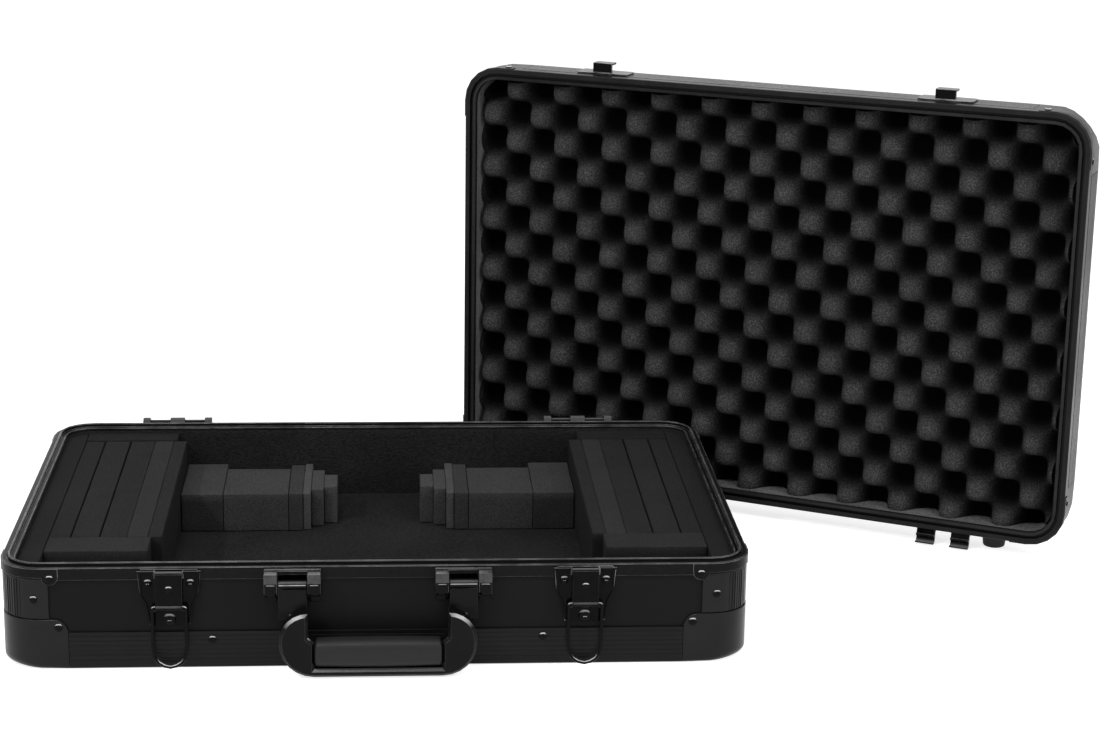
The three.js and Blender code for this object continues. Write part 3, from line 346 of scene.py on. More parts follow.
PANEL = panel_finish()
TRIM_X = anodised_finish("anodised_along_x", "x")
TRIM_Y = anodised_finish("anodised_along_y", "y")
# Bands of painted highlight on the rims' lands and tongue tops, as (from, to, grey).
BASE_HIGHLIGHT_BANDS = [(-0.5, 0.2, 0.004), (2.5, 4.0, 0.03)]
LID_HIGHLIGHT_BANDS = [(-0.7, -0.06, 0.02), (-0.06, 0.3, 0.01)]
TRIM_RIM = rim_finish("anodised_rim", ((0, 0, 1), BASE_HEIGHT), BASE_HIGHLIGHT_BANDS)
LID_FACE = LID_DEPTH - LID_ORIGIN.dot(LID_BACK)
LID_RIM = rim_finish("anodised_lid_rim", (tuple(-LID_BACK), LID_FACE), LID_HIGHLIGHT_BANDS)
TRIM_LID = anodised_finish("anodised_lid", "x", LID_TURN, 0.22)
TRIM_UP = anodised_finish("anodised_upright", "z")
CAP = corner_finish()
HARDWARE = hardware_finish()
PAINTED_LIGHT_PLATING = painted_light_finish()
BRIGHT = bright_finish()
# Edge materials for the bevels' second slot: lighter greys that paint highlights on the edges.
EDGE = edge_finish("painted_highlight_edge", 0.012, 0.3)
RIM_EDGE = edge_finish("painted_highlight_rim_edge", 0.04, 0.24)
LID_EDGE = edge_finish("painted_highlight_lid_edge", 0.12, 0.5)
HORN = horn_finish()
GRIP = grip_finish()
RUBBER = rubber_finish()
CUT_FOAM = foam_finish("cut_foam", 0.0185, 0.45, 900, 0.0006)
EGG_FOAM = foam_finish("egg_crate_foam", 0.037, 0.75, 620, 0.001)
FELT = felt_finish("needled_felt", 0.012)
LID_FELT = felt_finish("lid_felt", 0.085)


# Mesh helpers
def build(name, verts, quads, material, body, place=None, tones=None, smooth=40):
    """A piece from points in millimetres, joined where they meet, with its faces turned outwards."""
    mesh = bpy.data.meshes.new(name)
    points = np.asarray(verts, float) * MM
    mesh.from_pydata(points.tolist(), [], [list(map(int, q)) for q in quads])
    if tones is not None:
        layer = mesh.attributes.new("tone", "FLOAT", "POINT")
        layer.data.foreach_set("value", np.asarray(tones, np.float32))
    bm = bmesh.new()
    bm.from_mesh(mesh)
    bmesh.ops.remove_doubles(bm, verts=bm.verts, dist=1e-6)
    bmesh.ops.dissolve_degenerate(bm, dist=1e-7, edges=bm.edges)
    bmesh.ops.recalc_face_normals(bm, faces=bm.faces)
    if place is not None:
        move = place.copy()
        move.translation = place.translation * MM
        bmesh.ops.transform(bm, matrix=move, verts=bm.verts)
    limit = math.radians(smooth)
    for face in bm.faces:
        face.smooth = True
    for edge in bm.edges:
        edge.smooth = len(edge.link_faces) == 2 and edge.calc_face_angle(0) < limit
    bm.to_mesh(mesh)
    bm.free()
    mesh.materials.append(material)
    obj = bpy.data.objects.new(name, mesh)
    bpy.context.scene.collection.objects.link(obj)
    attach(obj, body)
    return obj


def merged(*parts):
    """Points and faces of several parts as one list of each."""
    points, quads, count = [], [], 0
    for verts, faces in parts:
        points.append(np.asarray(verts, float))
        quads += [[i + count for i in face] for face in faces]
        count += len(verts)
    return np.concatenate(points), quads


def grid_faces(rows, columns, closed=False):
    """Faces between neighbouring rows of points. Closed joins the last column to the first."""
    faces = []
    for row in range(0, (rows - 1) * columns, columns):
        for i in range(columns if closed else columns - 1):
            after = (i + 1) % columns
            faces.append([row + i, row + after, row + columns + after, row + columns + i])
    return faces


def stops(low, high, radius, step):
    """Grid lines from low to high, close together in the rounding at both ends."""
    near = [0, 0.3 * radius, 0.65 * radius, radius]
    count = max(2, int(round((high - low - 2 * radius) / step)) + 1)
    middle = np.linspace(low + radius, high - radius, count)
    return np.array([low + d for d in near[:-1]] + list(middle) + [high - d for d in near[:-1]][::-1])


def soft_box(lows, highs, radius, step):
    """A box with rounded edges and a grid on every face."""
    lows, highs = np.array(lows, float), np.array(highs, float)
    lines = [stops(lo, hi, radius, step) for lo, hi in zip(lows, highs)]
    parts = []
    for axis in range(3):
        a, b = [k for k in range(3) if k != axis]
        for level in (lows[axis], highs[axis]):
            aa, bb = np.meshgrid(lines[a], lines[b])
            points = np.empty((aa.size, 3))
            points[:, a], points[:, b], points[:, axis] = aa.ravel(), bb.ravel(), level
            parts.append((points, grid_faces(len(lines[b]), len(lines[a]))))
    points, faces = merged(*parts)
    core = np.clip(points, lows + radius, highs - radius)
    away = points - core
    length = np.linalg.norm(away, axis=1, keepdims=True)
    return core + away / length * radius, faces


def ripple(points, size, amount, seed):
    """Moves points a little, by smooth noise of that size."""
    out = np.array(points, float)
    for i, p in enumerate(points):
        v = noise.noise_vector(Vector(p) / size + Vector((seed, 2 * seed, 3 * seed)))
        out[i] += amount * np.array(v)
    return out


# In place of zero at the axis of a turned part, so that its faces keep their corners
TINY = 0.001
# How deep a head's foot sits in what carries it
HEAD_FOOT = -0.4


def lathe(profile, sides=20):
    """A turned solid about +Z. The profile runs from the axis at the bottom to the axis at the top."""
    angle = np.arange(sides) * 2 * math.pi / sides
    circle = np.column_stack([np.cos(angle), np.sin(angle)])
    rings = [np.column_stack([radius * circle, np.full(sides, z)]) for radius, z in profile]
    return np.concatenate(rings), grid_faces(len(profile), sides, closed=True)


def placed(part, position, normal):
    """A part turned so that its +Z is along normal, and moved to position."""
    turn = np.array(Vector(normal).normalized().to_track_quat("Z", "Y").to_matrix())
    return np.asarray(part[0]) @ turn.T + np.array(position, float), part[1]


def rivet(position, normal, radius, height=1.7):
    """A dome on a short upright edge."""
    edge = 0.25
    angles = np.linspace(math.pi / 2, TINY, 7)
    dome = [(radius * math.sin(t), edge + height * math.cos(t)) for t in angles]
    foot = [(TINY, HEAD_FOOT), (radius * 0.98, HEAD_FOOT), (radius, 0.0)]
    return placed(lathe(foot + dome), position, normal)


def screw(position, radius, height):
    """A raised head on the front, with a cross recess pressed into it."""
    sides, edge, recess = 24, 0.15, 0.75
    angles = np.linspace(math.pi / 2, 0.35, 6)
    dome = [(radius * math.sin(t), edge + height * math.cos(t)) for t in angles]
    flat = [(0.18 * radius, height), (TINY, height)]
    points, faces = lathe([(TINY, HEAD_FOOT), (radius, HEAD_FOOT)] + dome + flat, sides)
    for i, p in enumerate(points):
        r = math.hypot(p[0], p[1])
        if p[2] > 0.9 * height and r < 0.5 * radius:
            angle = (i % sides) * 2 * math.pi / sides
            p[2] -= recess * (1 - abs(math.sin(2 * angle))) * (1 if r > 0.2 * radius else 1.2)
    return placed((points, faces), position, (0, -1, 0))


# The CAD nodes that stay
def soften(obj, width, angle, edge):
    """Rounds the sharp edges of an object, in a material of their own if one is given."""
    bevel = obj.modifiers.new("soften", "BEVEL")
    bevel.width = width * MM
    bevel.segments = 2
    bevel.limit_method = "ANGLE"
    bevel.angle_limit = math.radians(angle)
    if edge:
        bevel.material = 1
        obj.data.materials.append(edge)
    return bevel


def dress(name, material, bevel, angle=38, edge=None):
    """Smooth rounds, softened edges and a material on a CAD node, by modifiers alone."""
    obj = nodes[name]
    obj.data.materials.clear()
    obj.data.materials.append(material)
    for face in obj.data.polygons:
        face.use_smooth = True
    weld = obj.modifiers.new("weld", "WELD")
    weld.merge_threshold = 1e-6
    flat = obj.modifiers.new("flat", "DECIMATE")
    flat.decimate_type = "DISSOLVE"
    flat.angle_limit = math.radians(0.6)
    if bevel:
        soften(obj, bevel, angle, edge).miter_outer = "MITER_ARC"
    normals = obj.modifiers.new("normals", "WEIGHTED_NORMAL")
    normals.keep_sharp = False
    normals.weight = 60


SIDES = {"left": -1, "right": 1}
CORNERS = {
    f"{end}_{side}": (sx, sy) for end, sy in (("front", -1), ("rear", 1)) for side, sx in SIDES.items()
}
for wall in ("front", "rear", "left", "right"):
    dress(f"base_wall_{wall}", PANEL, 0)
dress("base_floor_panel", PANEL, 0.4)
dress("lid_top_panel", PANEL, 0.4)
dress("lid_wall_frame", PANEL, 0)
dress("base_rim", TRIM_RIM, 0.3, edge=RIM_EDGE)
dress("lid_rim", LID_RIM, 0.45, edge=LID_EDGE)
for edge in ("front", "rear"):
    dress(f"base_edge_{edge}", TRIM_X, 0.25, 50)
    dress(f"lid_edge_{edge}", TRIM_LID, 0.25, 50)
for edge in SIDES:
    dress(f"base_edge_{edge}", TRIM_Y, 0.25, 50)
    dress(f"lid_edge_{edge}", TRIM_UP, 0.25, 50)
for corner in CORNERS:
    dress(f"base_post_{corner}", CAP, 0.2, 50)
    dress(f"lid_cap_{corner}", CAP, 0.4, 50)
for side in SIDES:
    dress(f"handle_bracket_{side}", HARDWARE, 0.5, edge=EDGE)
    dress(f"latch_plate_{side}", HARDWARE, 0.45, edge=EDGE)
    dress(f"latch_lever_{side}", HARDWARE, 0.35, edge=EDGE)
    dress(f"latch_bail_{side}", BRIGHT, 0)
    dress(f"base_hinge_{side}", HARDWARE, 0.4, edge=EDGE)
    dress(f"lid_hook_{side}", HARDWARE, 0.4, edge=EDGE)
    dress(f"lid_catch_{side}", HARDWARE, 0.4, edge=EDGE)
    dress(f"base_foot_{side}", RUBBER, 0.6)
    dress(f"lid_foot_{side}", RUBBER, 0.6)
dress("handle_frame", HORN, 0.45, edge=EDGE)
dress("handle_grip", GRIP, 0)


# Outlines that follow the case
def outline(inset, step):
    """Points round the case's outline, set in by a distance."""
    arc = 10
    x, y, r = HALF_X - CORNER, HALF_Y - CORNER, CORNER - inset
    points = []
    for k, (sx, sy) in enumerate(((1, 1), (-1, 1), (-1, -1), (1, -1))):
        for i in range(arc + 1):
            angle = (k + i / arc) * math.pi / 2
            out = (math.cos(angle), math.sin(angle))
            points.append((sx * x + r * out[0], sy * y + r * out[1]))
        length = 2 * (x if k % 2 == 0 else y)
        count = int(length / step)
        ax, ay = points[-1]
        way = (-out[1], out[0])
        for i in range(1, count):
            points.append((ax + way[0] * length * i / count, ay + way[1] * length * i / count))
    return np.array(points)


def ring(profile, step):
    """A closed ring round the case from a closed profile of (inset, height)."""
    rows = []
    for inset, z in list(profile) + [profile[0]]:
        points = outline(inset, step)
        rows.append(np.column_stack([points, np.full(len(points), z)]))
    return np.concatenate(rows), grid_faces(len(rows), len(rows[0]), closed=True)


def round_corners(points, inset):
    """Pulls points that stick out of the case's rounded corners back on to the outline."""
    centre = np.array([HALF_X - CORNER, HALF_Y - CORNER])
    radius = CORNER - inset
    v = np.abs(points[:, :2]) - centre
    length = np.linalg.norm(v, axis=1)
    outside = (v[:, 0] > 0) & (v[:, 1] > 0) & (length > radius)
    fixed = centre + v / np.maximum(length, 1e-9)[:, None] * radius
    points[outside, :2] = (np.sign(points[:, :2]) * fixed)[outside]
    return points


# Corner caps of the tray
CAP_TOP, CAP_REACH, CAP_FLANGE, CAP_SHEET = 46.1, 60.0, 24.0, 2.0
CAP_LIP = 0.5
TRIM_TOP = 34.0
# Radius of the rounding underneath: at a wing's end, where the corner starts, and at its middle
UNDER_END, UNDER_START, UNDER_MIDDLE = 3, 5, 9


def quarter(radius, thickness):
    """A quarter round from the upright face down to the underside, as (inset, height)."""
    angles = np.linspace(0, math.pi / 2, 8)
    inner = radius - thickness
    return [(radius - inner * math.cos(a), radius - inner * math.sin(a)) for a in angles]


def corner_cap(corner):
    """A pressed cap: upright wings, a flange under the panel, and between them a rounding that is
    widest at the corner's middle."""
    wing, ear = CAP_REACH - CORNER, CAP_TOP - TRIM_TOP
    aways = [1 - ear * (1 - math.cos(a)) / wing for a in np.linspace(0, math.pi / 2, 7)] + [0.2]
    centre = (HALF_X - CORNER, HALF_Y - CORNER)
    grow, shrink = UNDER_MIDDLE - UNDER_START, UNDER_START - UNDER_END
    stations = [((HALF_X, centre[1] - wing * a), (1, 0), a, UNDER_START - shrink * a) for a in aways]
    for turn in np.linspace(0, 1, 15):
        out = (math.cos(turn * math.pi / 2), math.sin(turn * math.pi / 2))
        point = (centre[0] + CORNER * out[0], centre[1] + CORNER * out[1])
        stations.append((point, out, 0, UNDER_START + grow * math.sin(math.pi * turn)))
    for a in reversed(aways):
        stations.append(((centre[0] - wing * a, HALF_Y), (0, 1), a, UNDER_START - shrink * a))
    sx, sy = CORNERS[corner]
    points = []
    for (x, y), out, away, radius in stations:
        short = max(0, ear - (1 - away) * wing)
        top = TRIM_TOP + math.sqrt(ear**2 - short**2)
        profile = [(CAP_LIP, top), (0, top - CAP_LIP)] + quarter(radius, 0)
        profile += [(CAP_FLANGE, 0), (CAP_FLANGE, CAP_SHEET)]
        profile += quarter(radius, CAP_SHEET)[::-1] + [(CAP_SHEET, top)]
        points += [(sx * (x - out[0] * d), sy * (y - out[1] * d), z) for d, z in profile]
    count = len(points) // len(stations)
    faces = grid_faces(len(stations), count, closed=True)
    last = len(points) - count
    faces += [list(range(count)), [last + k for k in reversed(range(count))]]
    obj = build(f"cap_{corner}", points, faces, CAP, "base", smooth=35)
    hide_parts(f"base_cap_{corner}")


for corner in CORNERS:
    corner_cap(corner)


# Felt and mat in the tray
def tray_lining():
    profile = [
        (LINING_BACK, FLOOR + 0.2),
        (LINING_FACE - 0.2, FLOOR + 0.2),
        (LINING_FACE, FLOOR + 3),
        (LINING_FACE, LINING_TOP - 2.2),
        (LINING_FACE - 0.5, LINING_TOP - 0.8),
        (LINING_FACE - 1.5, LINING_TOP - 0.3),
        (LINING_BACK, LINING_TOP - 0.3),
    ]
    inner = [(LINING_FACE, z) for z in np.linspace(FLOOR + 3, LINING_TOP - 2.2, 14)[1:-1]]
    points, faces = ring(profile[:3] + inner + profile[3:], 9)
    middle, free = 48, 41
    inside = np.abs(points[:, 2] - middle) < free
    moved = ripple(points, 45, 0.25, 3.1)
    points[inside] = moved[inside]
    obj = build("tray_lining", points, faces, FELT, "base")
    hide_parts("base_lining")


def tray_mat():
    reach = (HALF_X - LINING_FACE - SOFT_GAP, HALF_Y - LINING_FACE - SOFT_GAP)
    points, faces = soft_box((-reach[0], -reach[1], FLOOR), (reach[0], reach[1], MAT_TOP), 1.4, 9)
    points = round_corners(points, LINING_FACE + SOFT_GAP)
    top = points[:, 2] > MAT_TOP - 0.5
    moved = ripple(points, 70, 0.5, 5.7)
    points[top, 2] = np.minimum(moved[top, 2], MAT_TOP + 0.15)
    obj = build("tray_mat", points, faces, FELT, "base")
    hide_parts("base_floor_mat")


tray_lining()
tray_mat()


# Cut foam in the tray
def foam_piece(name, boxes, replaced, wall=None, side=0.7):
    """Foam cut into strips or steps. Each box is (lows, highs, tone) and lies a knife's cut from the
    next. Below top_edge the tone is multiplied by side, a painted shade on the sides against the tops."""
    top_edge = 1.6
    parts, tones = [], []
    for k, (lows, highs, tone) in enumerate(boxes):
        points, faces = soft_box(lows, highs, 1.0, 7.0)
        if wall is not None:
            points = round_corners(points, wall)
        points = ripple(points, 30, 0.22, 1.7 + 0.9 * k)
        parts.append((points, faces))
        tone *= 0.97 + 0.06 * ((7 * k) % 5) / 4
        tones += [tone * (1 if z > highs[2] - top_edge else side) for z in points[:, 2]]
    points, faces = merged(*parts)
    obj = build(name, points, faces, CUT_FOAM, "base", tones=tones)
    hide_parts(replaced)


STRIP_EDGES = [317.7, 298.0, 278.5, 252.6, 228.0, 209.0, 196.0]
CUTS = [0.3, 0.3, 0.7, 0.7, 0.1, 0.1, 0.3]
STRIP_TONES = [0.8, 0.9, 0.95, 0.95, 1.3, 1.0]
FRONT_CUT, REAR_CUT = -116.5, 179.0
FOAM_REACH, INNER_EDGE, WELL_EDGE = 205.7, 206.0, -155.0


def foam_end(side):
    sign = SIDES[side]
    boxes = []

    def strip(x0, x1, y0, y1, tone, lift=0.0):
        lo, hi = sorted((sign * x0, sign * x1))
        boxes.append(((lo, y0 + SOFT_GAP, FOAM_FOOT), (hi, y1 - SOFT_GAP, FOAM_TOP + lift), tone))

    strip(STRIP_EDGES[0], STRIP_EDGES[1] + CUTS[1], -FOAM_REACH, FOAM_REACH, STRIP_TONES[0])
    for i in range(1, 6):
        outer, inner = STRIP_EDGES[i] - CUTS[i], STRIP_EDGES[i + 1] + CUTS[i + 1]
        strip(outer, inner, FRONT_CUT, REAR_CUT, STRIP_TONES[i], -0.1 * (i % 2))
    # The front cross strip's higher tone is painted light; the rear strip's tone is lower.
    strip(STRIP_EDGES[1] - CUTS[1], INNER_EDGE, WELL_EDGE, FRONT_CUT, 1.2)
    strip(STRIP_EDGES[1] - CUTS[1], INNER_EDGE, REAR_CUT, FOAM_REACH, 0.7, 1.0)
    foam_piece(f"foam_end_cut_{side}", boxes, f"foam_end_{side}", LINING_FACE + SOFT_GAP)


def foam_blocks(side):
    sign = SIDES[side]

    # shade is a painted shade: the tone of the blocks' sides against their tops.
    def blocks(name, x, runs, shade=0.9):
        """Blocks inwards from x. Each run is (length, front, rear, tone)."""
        boxes = []
        for length, front, rear, tone in runs:
            lo, hi = sorted((sign * x, sign * (x - length)))
            boxes.append(((lo + 0.1, front, FOAM_FOOT), (hi - 0.1, rear, BLOCK_TOP), tone))
            x -= length
        foam_piece(f"foam_{name}_cut_{side}", boxes, f"foam_block_{name}_{side}", side=shade)

    blocks("outer", 195.7, [(41.2, 86, 185.5, 2.1)], 0.6)
    blocks("middle", 154.2, [(64.4, 86, 168.5, 2.1)])
    nose = [(14, 86, 181, 1.8), (8, 88, 185, 3.0), (12.5, 100, 163.5, 2.4), (13.5, 108.5, 148, 2.6)]
    blocks("nose", 89.5, nose)


for side in SIDES:
    foam_end(side)
    foam_blocks(side)


# Egg-crate foam and lining in the lid
PITCH_X, PITCH_Y = 54.4, 57.0
PEAK_X, PEAK_Y = -301.5, 171.0
EGG_BACK = 6.3
EGG_LOW, EGG_HIGH = 9.6, 36.0
EGG_SAG = (-0.24, -0.2)


def egg_height(x, y):
    """A checker of knobs and hollows, steeper between than at their tops, and a little uneven."""
    wave = math.cos(math.tau * (x - PEAK_X) / PITCH_X) * math.cos(math.tau * (y - PEAK_Y) / PITCH_Y)
    shaped = math.tanh(1.65 * wave + 0.08) / math.tanh(1.73)
    fade = 1 - 0.06 * (1 + noise.noise(Vector((x / 40, y / 40, 8.2))))
    lump = 0.5 * noise.noise(Vector((x / 14, y / 14, 1.3)))
    return (EGG_LOW + EGG_HIGH) / 2 + (EGG_HIGH - EGG_LOW) / 2 * shaped * fade + lump * (1 - abs(wave))


def lid_egg_foam():
    inset = 11.4
    reach = (HALF_X - inset, HALF_Y - inset)
    columns, rows = 286, 186
    xs, ys = np.linspace(-reach[0], reach[0], columns), np.linspace(-reach[1], reach[1], rows)
    grid_x, grid_y = np.meshgrid(xs, ys)
    flat = np.column_stack([grid_x.ravel(), grid_y.ravel(), np.zeros(grid_x.size)])
    flat = round_corners(flat, inset)
    warp = np.array([noise.noise_vector(Vector((x / 90, y / 90, 4.4))) for x, y, _ in flat])
    top = flat.copy()
    top[:, 2] = [egg_height(x + 1.6 * w[0], y + 1.6 * w[1]) for (x, y, _), w in zip(flat, warp)]
    rise = top[:, 2] - EGG_LOW
    for axis in (0, 1):
        top[:, axis] = np.clip(top[:, axis] + EGG_SAG[axis] * rise, -reach[axis], reach[axis])
    top = round_corners(top, inset)
    at = np.arange(columns * rows).reshape(rows, columns)
    border = np.concatenate([at[0, :-1], at[:-1, -1], at[-1, :0:-1], at[:0:-1, 0]])
    foot = top[border].copy()
    foot[:, 2] = EGG_BACK
    middle = len(top) + len(foot)
    points = np.concatenate([top, foot, [[0, 0, EGG_BACK]]])
    faces = grid_faces(rows, columns)
    count = len(border)
    for k in range(count):
        n = (k + 1) % count
        faces.append([border[k], border[n], len(top) + n, len(top) + k])
        faces.append([len(top) + k, len(top) + n, middle])
    # Painted shade: the tone falls toward the hollows, by height, darkest at the bottom of each
    # hollow.
    low = np.clip((points[:, 2] - EGG_LOW) / (EGG_HIGH - EGG_LOW), 0, 1)
    tones = 0.01 + 1.1 * np.clip((low - 0.15) / 0.85, 0, 1) ** 2.05
    obj = build("lid_egg_foam", points, faces, EGG_FOAM, "lid", LID_PLACE, tones, smooth=70)
    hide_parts("lid_foam")


def lid_lining():
    """The soft lining on the inside of the lid's wall, tucked under its rim and bulging a little."""
    face = [(0, 7), (1.6, 7), (2.2, 12), (2.5, 24), (2.3, 32)]
    face += [(2, 36.5), (2.6, 40), (3.2, 42), (2.6, 43), (0, 43)]
    profile = [(LINING_BACK + out, z) for out, z in face]
    points, faces = ring(profile, 6)
    obj = build("lid_lining", points, faces, LID_FELT, "lid", LID_PLACE, smooth=50)


lid_egg_foam()
lid_lining()


# Rivets and screws
def all_round(x_places, y_places, z, radius, side_height, out=0.0):
    """Rivets of one height: x_places on the front and the rear, y_places on the short sides."""
    found = []
    for x in x_places:
        for way in (-1, 1):
            found.append(rivet((x, way * (HALF_Y + out), z), (0, way, 0), radius))
    for y in y_places:
        for way in (-1, 1):
            found.append(rivet((way * (HALF_X + out), y, z), (way, 0, 0), radius, side_height))
    return found


def case_rivets(name, body, rows, place=None):
    points, faces = merged(*[r for row in rows for r in all_round(*row)])
    build(name, points, faces, BRIGHT, body, place)


def pair(*values):
    return [s * v for v in values for s in (-1, 1)]


# Height of the flatter heads on the short sides
FLAT = 0.6
case_rivets(
    "base_rivets",
    "base",
    [
        (pair(145), pair(70), 26.7, 3.4, FLAT),
        (pair(299), [], 65.0, 3.5, FLAT),
        (pair(278), pair(166), 39.0, 3.6, FLAT),
    ],
)

# Through the ends of the rims' corner clips, which stand proud of the walls
CLIP_RIVET = 45.7
CLIP_ENDS = (pair(HALF_X - CLIP_RIVET), pair(HALF_Y - CLIP_RIVET))
case_rivets("base_clip_rivets", "base", [(*CLIP_ENDS, 84.0, 3.5, 0.9, CLIP_PROUD)])
case_rivets("lid_clip_rivets", "lid", [(*CLIP_ENDS, 38.5, 3.5, 0.9, CLIP_PROUD)], LID_PLACE)


# Latch and handle details
LATCH, PLATE_FACE = 181.5, -219.8
PLATE_HALF, LEVER_HALF, FOOT_HALF = 28, 12.6, 14
# Half of a plate's outline, as (out from its middle, height)
LIP_LINE = [(25.0, 88.5), (24.4, 68.5), (19.8, 60.5), (17.2, 43.5)]
HANDLE_CHEEK = (50.1, 61.1, 87.9, 98.9)
# The backs of fittings: clear of the wall, and clear of the bracket behind a cheek
WALL_SEAT, CHEEK_SEAT = -218.6, -219.0


def tube(path, radius):
    """A round bar along an open path, with closed ends."""
    sides = 8
    path = [Vector(p) for p in path]
    rings = []
    for i, p in enumerate(path):
        way = (path[min(i + 1, len(path) - 1)] - path[max(i - 1, 0)]).normalized()
        turn = way.to_track_quat("Z", "Y").to_matrix()
        for k in range(sides):
            angle = (k + 0.5) * 2 * math.pi / sides
            rings.append(p + turn @ Vector((radius * math.cos(angle), radius * math.sin(angle), 0)))
    faces = grid_faces(len(path), sides, closed=True)
    last = (len(path) - 1) * sides
    faces += [list(range(sides)), [last + k for k in reversed(range(sides))]]
    return np.array(rings), faces


def on_front(x0, x1, face, z0, z1, radius, step, back=WALL_SEAT):
    """A rounded box on the front, from its back out to its face."""
    return soft_box((x0, face, z0), (x1, back, z1), radius, step)


def fittings(name, side, parts, material, body="base", edge=None):
    """Small hardware in one mesh, mirrored for the left side. An edge material paints highlights on
    its edges.
    """
    points, faces = merged(*parts)
    points = points * (SIDES[side], 1, 1)
    obj = build(f"{name}_{side}", points, faces, material, body, smooth=50)
    if edge:
        soften(obj, 0.45, 40, edge)


def latch_details(side):
    folds = ((LATCH - PLATE_HALF, LATCH - LEVER_HALF), (LATCH + LEVER_HALF, LATCH + PLATE_HALF))
    plates = [on_front(x0, x1, -221.2, 89.4, 91.2, 0.5, 8) for x0, x1 in folds]
    plates.append(on_front(LATCH - FOOT_HALF, LATCH + FOOT_HALF, -221.0, 41.0, 54.5, 0.5, 8))
    fittings("latch_flange", side, plates, HARDWARE, edge=EDGE)
    lips, screws = [], []
    for way in (-1, 1):
        lips.append(tube([(LATCH + way * x, PLATE_FACE - 0.2, z) for x, z in LIP_LINE], 1.0))
        screws.append(screw((LATCH + way * 18.4, PLATE_FACE, 80.0), 3.6, 1.9))
    screws.append(screw((LATCH, -221.0, 47.0), 5.6, 2.9))
    fittings("latch_fittings", side, lips + screws, BRIGHT)
    body = f"latch_lever_{side}"
    head = rivet((LATCH, -226.0, 76.0), (0, -1, -0.14), 3.4, 1.8)
    fittings("lever_rivet", side, [head], BRIGHT, body)
    # The bead's lighter plating is a painted highlight along the top of the lever's roll.
    bead = tube([(LATCH - 10.8, -228.6, 61.0), (LATCH + 10.8, -228.6, 61.0)], 1.0)
    fittings("lever_roll_bead", side, [bead], PAINTED_LIGHT_PLATING, body)


def bracket_details(side):
    low, inner, outer, high = HANDLE_CHEEK
    cheeks, tops = [], [on_front(low - 0.3, high + 0.3, -222.5, 91.0, 92.3, 0.4, 6)]
    for x0, x1 in ((low, inner), (outer, high)):
        cheeks.append(on_front(x0 - 0.3, x1 + 0.3, -232.8, 70.5, 82.5, 3.2, 4, CHEEK_SEAT))
        cheeks.append(on_front(x0 - 0.2, x1 + 0.2, -223.0, 62.6, 70.0, 1.2, 4))
        tops.append(on_front(x0 - 0.4, x1 + 0.4, -232.6, 82.2, 91.0, 0.8, 4, CHEEK_SEAT))
    fittings("bracket_cheeks", side, cheeks, BRIGHT, edge=EDGE)
    # The tops' lighter plating is a painted highlight where light catches the bracket.
    fittings("bracket_tops", side, tops, PAINTED_LIGHT_PLATING)
    # A thin bar along the handle's pin in a light edge material: a painted highlight line.
    glint_line = tube([(inner + 1.8, -231.4, 81.0), (outer - 1.8, -231.4, 81.0)], 0.45)
    fittings("knuckle_painted_glint", side, [glint_line], LID_EDGE, "handle")


for side in SIDES:
    latch_details(side)
    bracket_details(side)


# Camera, floor and light
def camera():
    yaw, pitch, roll = math.radians(-4.092), math.radians(15.424), math.radians(0.923)
    level = math.cos(pitch)
    forward = Vector((-math.sin(yaw) * level, math.cos(yaw) * level, -math.sin(pitch)))
    right = Vector((math.cos(yaw), math.sin(yaw), 0))
    up = right.cross(forward)
    across = math.cos(roll) * right + math.sin(roll) * up
    upward = -math.sin(roll) * right + math.cos(roll) * up
    data = bpy.data.cameras.new("camera")
    data.sensor_width = 36
    data.lens = 79.385
    data.clip_end = 40
    obj = bpy.data.objects.new("camera", data)
    turn = Matrix((across, upward, -forward)).transposed().to_4x4()
    obj.matrix_world = Matrix.Translation(Vector((5.0, -2223.2, 822.1)) * MM) @ turn
    bpy.context.scene.collection.objects.link(obj)
    bpy.context.scene.camera = obj


def background_shader(tree, plain):
    """White where the camera or a reflection sees it, and plain elsewhere."""
    path = tree.nodes.new("ShaderNodeLightPath")
    seen = path.outputs["Is Camera Ray"]
    for ray in ("Is Glossy Ray", "Is Transmission Ray"):
        either = tree.nodes.new("ShaderNodeMath")
        either.operation = "MAXIMUM"
        tree.links.new(seen, either.inputs[0])
        tree.links.new(path.outputs[ray], either.inputs[1])
        seen = either.outputs[0]
    mix = tree.nodes.new("ShaderNodeMixShader")
    tree.links.new(seen, mix.inputs["Fac"])
    tree.links.new(plain, mix.inputs[1])
    return mix


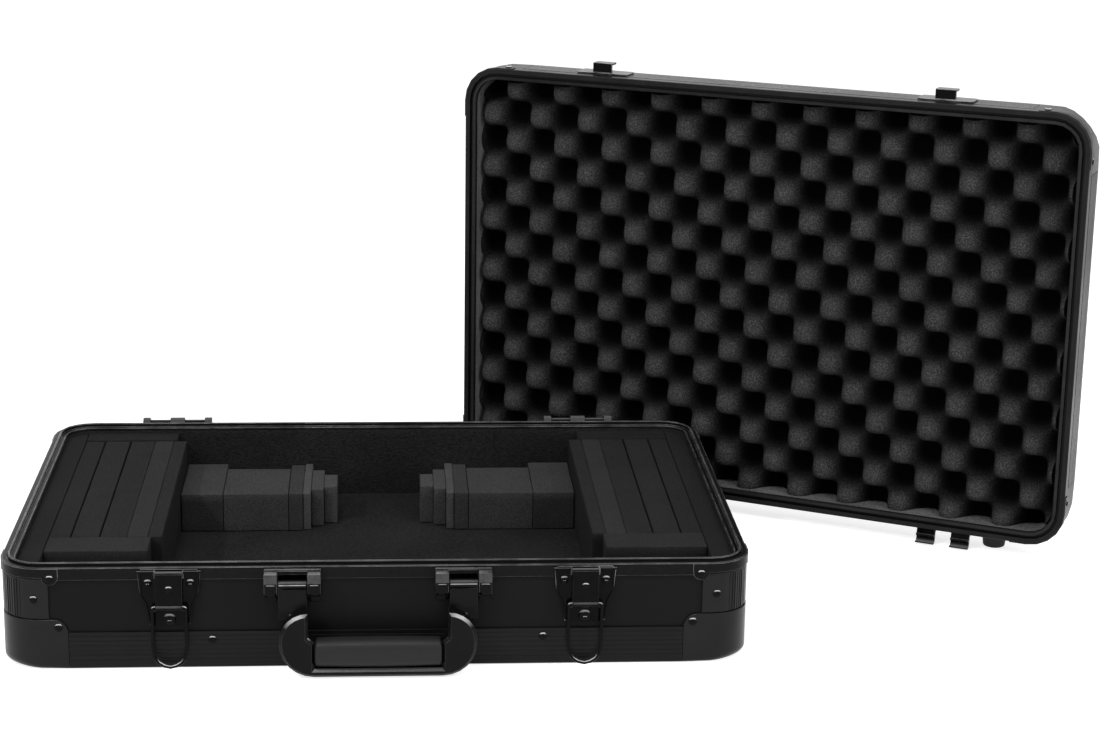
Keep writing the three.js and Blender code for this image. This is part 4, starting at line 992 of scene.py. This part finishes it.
def floor():
    mesh = bpy.data.meshes.new("floor")
    size, drop = 12.0, -0.0004
    corners = [(x * size, y * size, drop) for x, y in ((-1, -1), (1, -1), (1, 1), (-1, 1))]
    mesh.from_pydata(corners, [], [(0, 1, 2, 3)])
    obj = bpy.data.objects.new("floor", mesh)
    bpy.context.scene.collection.objects.link(obj)
    material = bpy.data.materials.new("floor")
    material.use_nodes = True
    tree = material.node_tree
    shader = tree.nodes["Principled BSDF"]
    shader.inputs["Base Color"].default_value = (0.8, 0.8, 0.8, 1)
    shader.inputs["Roughness"].default_value = 0.9
    shader.inputs["Specular IOR Level"].default_value = 0.1
    glow = tree.nodes.new("ShaderNodeEmission")
    glow.inputs["Strength"].default_value = 0.75
    both = tree.nodes.new("ShaderNodeAddShader")
    tree.links.new(shader.outputs[0], both.inputs[0])
    tree.links.new(glow.outputs[0], both.inputs[1])
    mix = background_shader(tree, shader.outputs[0])
    tree.links.new(both.outputs[0], mix.inputs[2])
    tree.links.new(mix.outputs[0], tree.nodes["Material Output"].inputs["Surface"])
    mesh.materials.append(material)


def surroundings():
    world = bpy.data.worlds.new("studio")
    bpy.context.scene.world = world
    world.use_nodes = True
    tree = world.node_tree
    plain = tree.nodes["Background"]
    plain.inputs["Color"].default_value = (1, 1, 1, 1)
    plain.inputs["Strength"].default_value = 0.35
    white = tree.nodes.new("ShaderNodeBackground")
    white.inputs["Color"].default_value = (1, 1, 1, 1)
    mix = background_shader(tree, plain.outputs[0])
    tree.links.new(white.outputs[0], mix.inputs[2])
    tree.links.new(mix.outputs[0], tree.nodes["World Output"].inputs["Surface"])


def softbox(name, position, target, width, height, watts):
    data = bpy.data.lights.new(name, "AREA")
    data.shape = "RECTANGLE"
    data.size, data.size_y = width, height
    data.energy = watts
    obj = bpy.data.objects.new(name, data)
    obj.location = position
    way = Vector(target) - Vector(position)
    obj.rotation_euler = way.to_track_quat("-Z", "Y").to_euler()
    bpy.context.scene.collection.objects.link(obj)


camera()
floor()
surroundings()
softbox("overhead", (0.1, -0.2, 2.3), (0.15, 0.1, 0.1), 2.4, 1.6, 10)
softbox("front_left", (-1.6, -2.2, 1.4), (0, 0, 0.1), 1.2, 1.4, 10)
softbox("right_strip", (2.1, -1.2, 0.9), (0.3, 0.0, 0.2), 0.4, 1.4, 14)
softbox("rear_edge", (0.2, 2.4, 1.7), (0.2, 0.1, 0.2), 2.2, 0.5, 9)
softbox("spark_left", (-1.4, -1.2, 1.8), (0, -0.2, 0.08), 0.09, 0.09, 15)
softbox("spark_right", (1.5, -1.0, 1.7), (0, -0.2, 0.08), 0.09, 0.09, 7)
softbox("spark_top", (-0.3, -1.1, 2.1), (0, -0.2, 0.08), 0.4, 0.06, 12)

bpy.context.scene.view_settings.view_transform = "Standard"
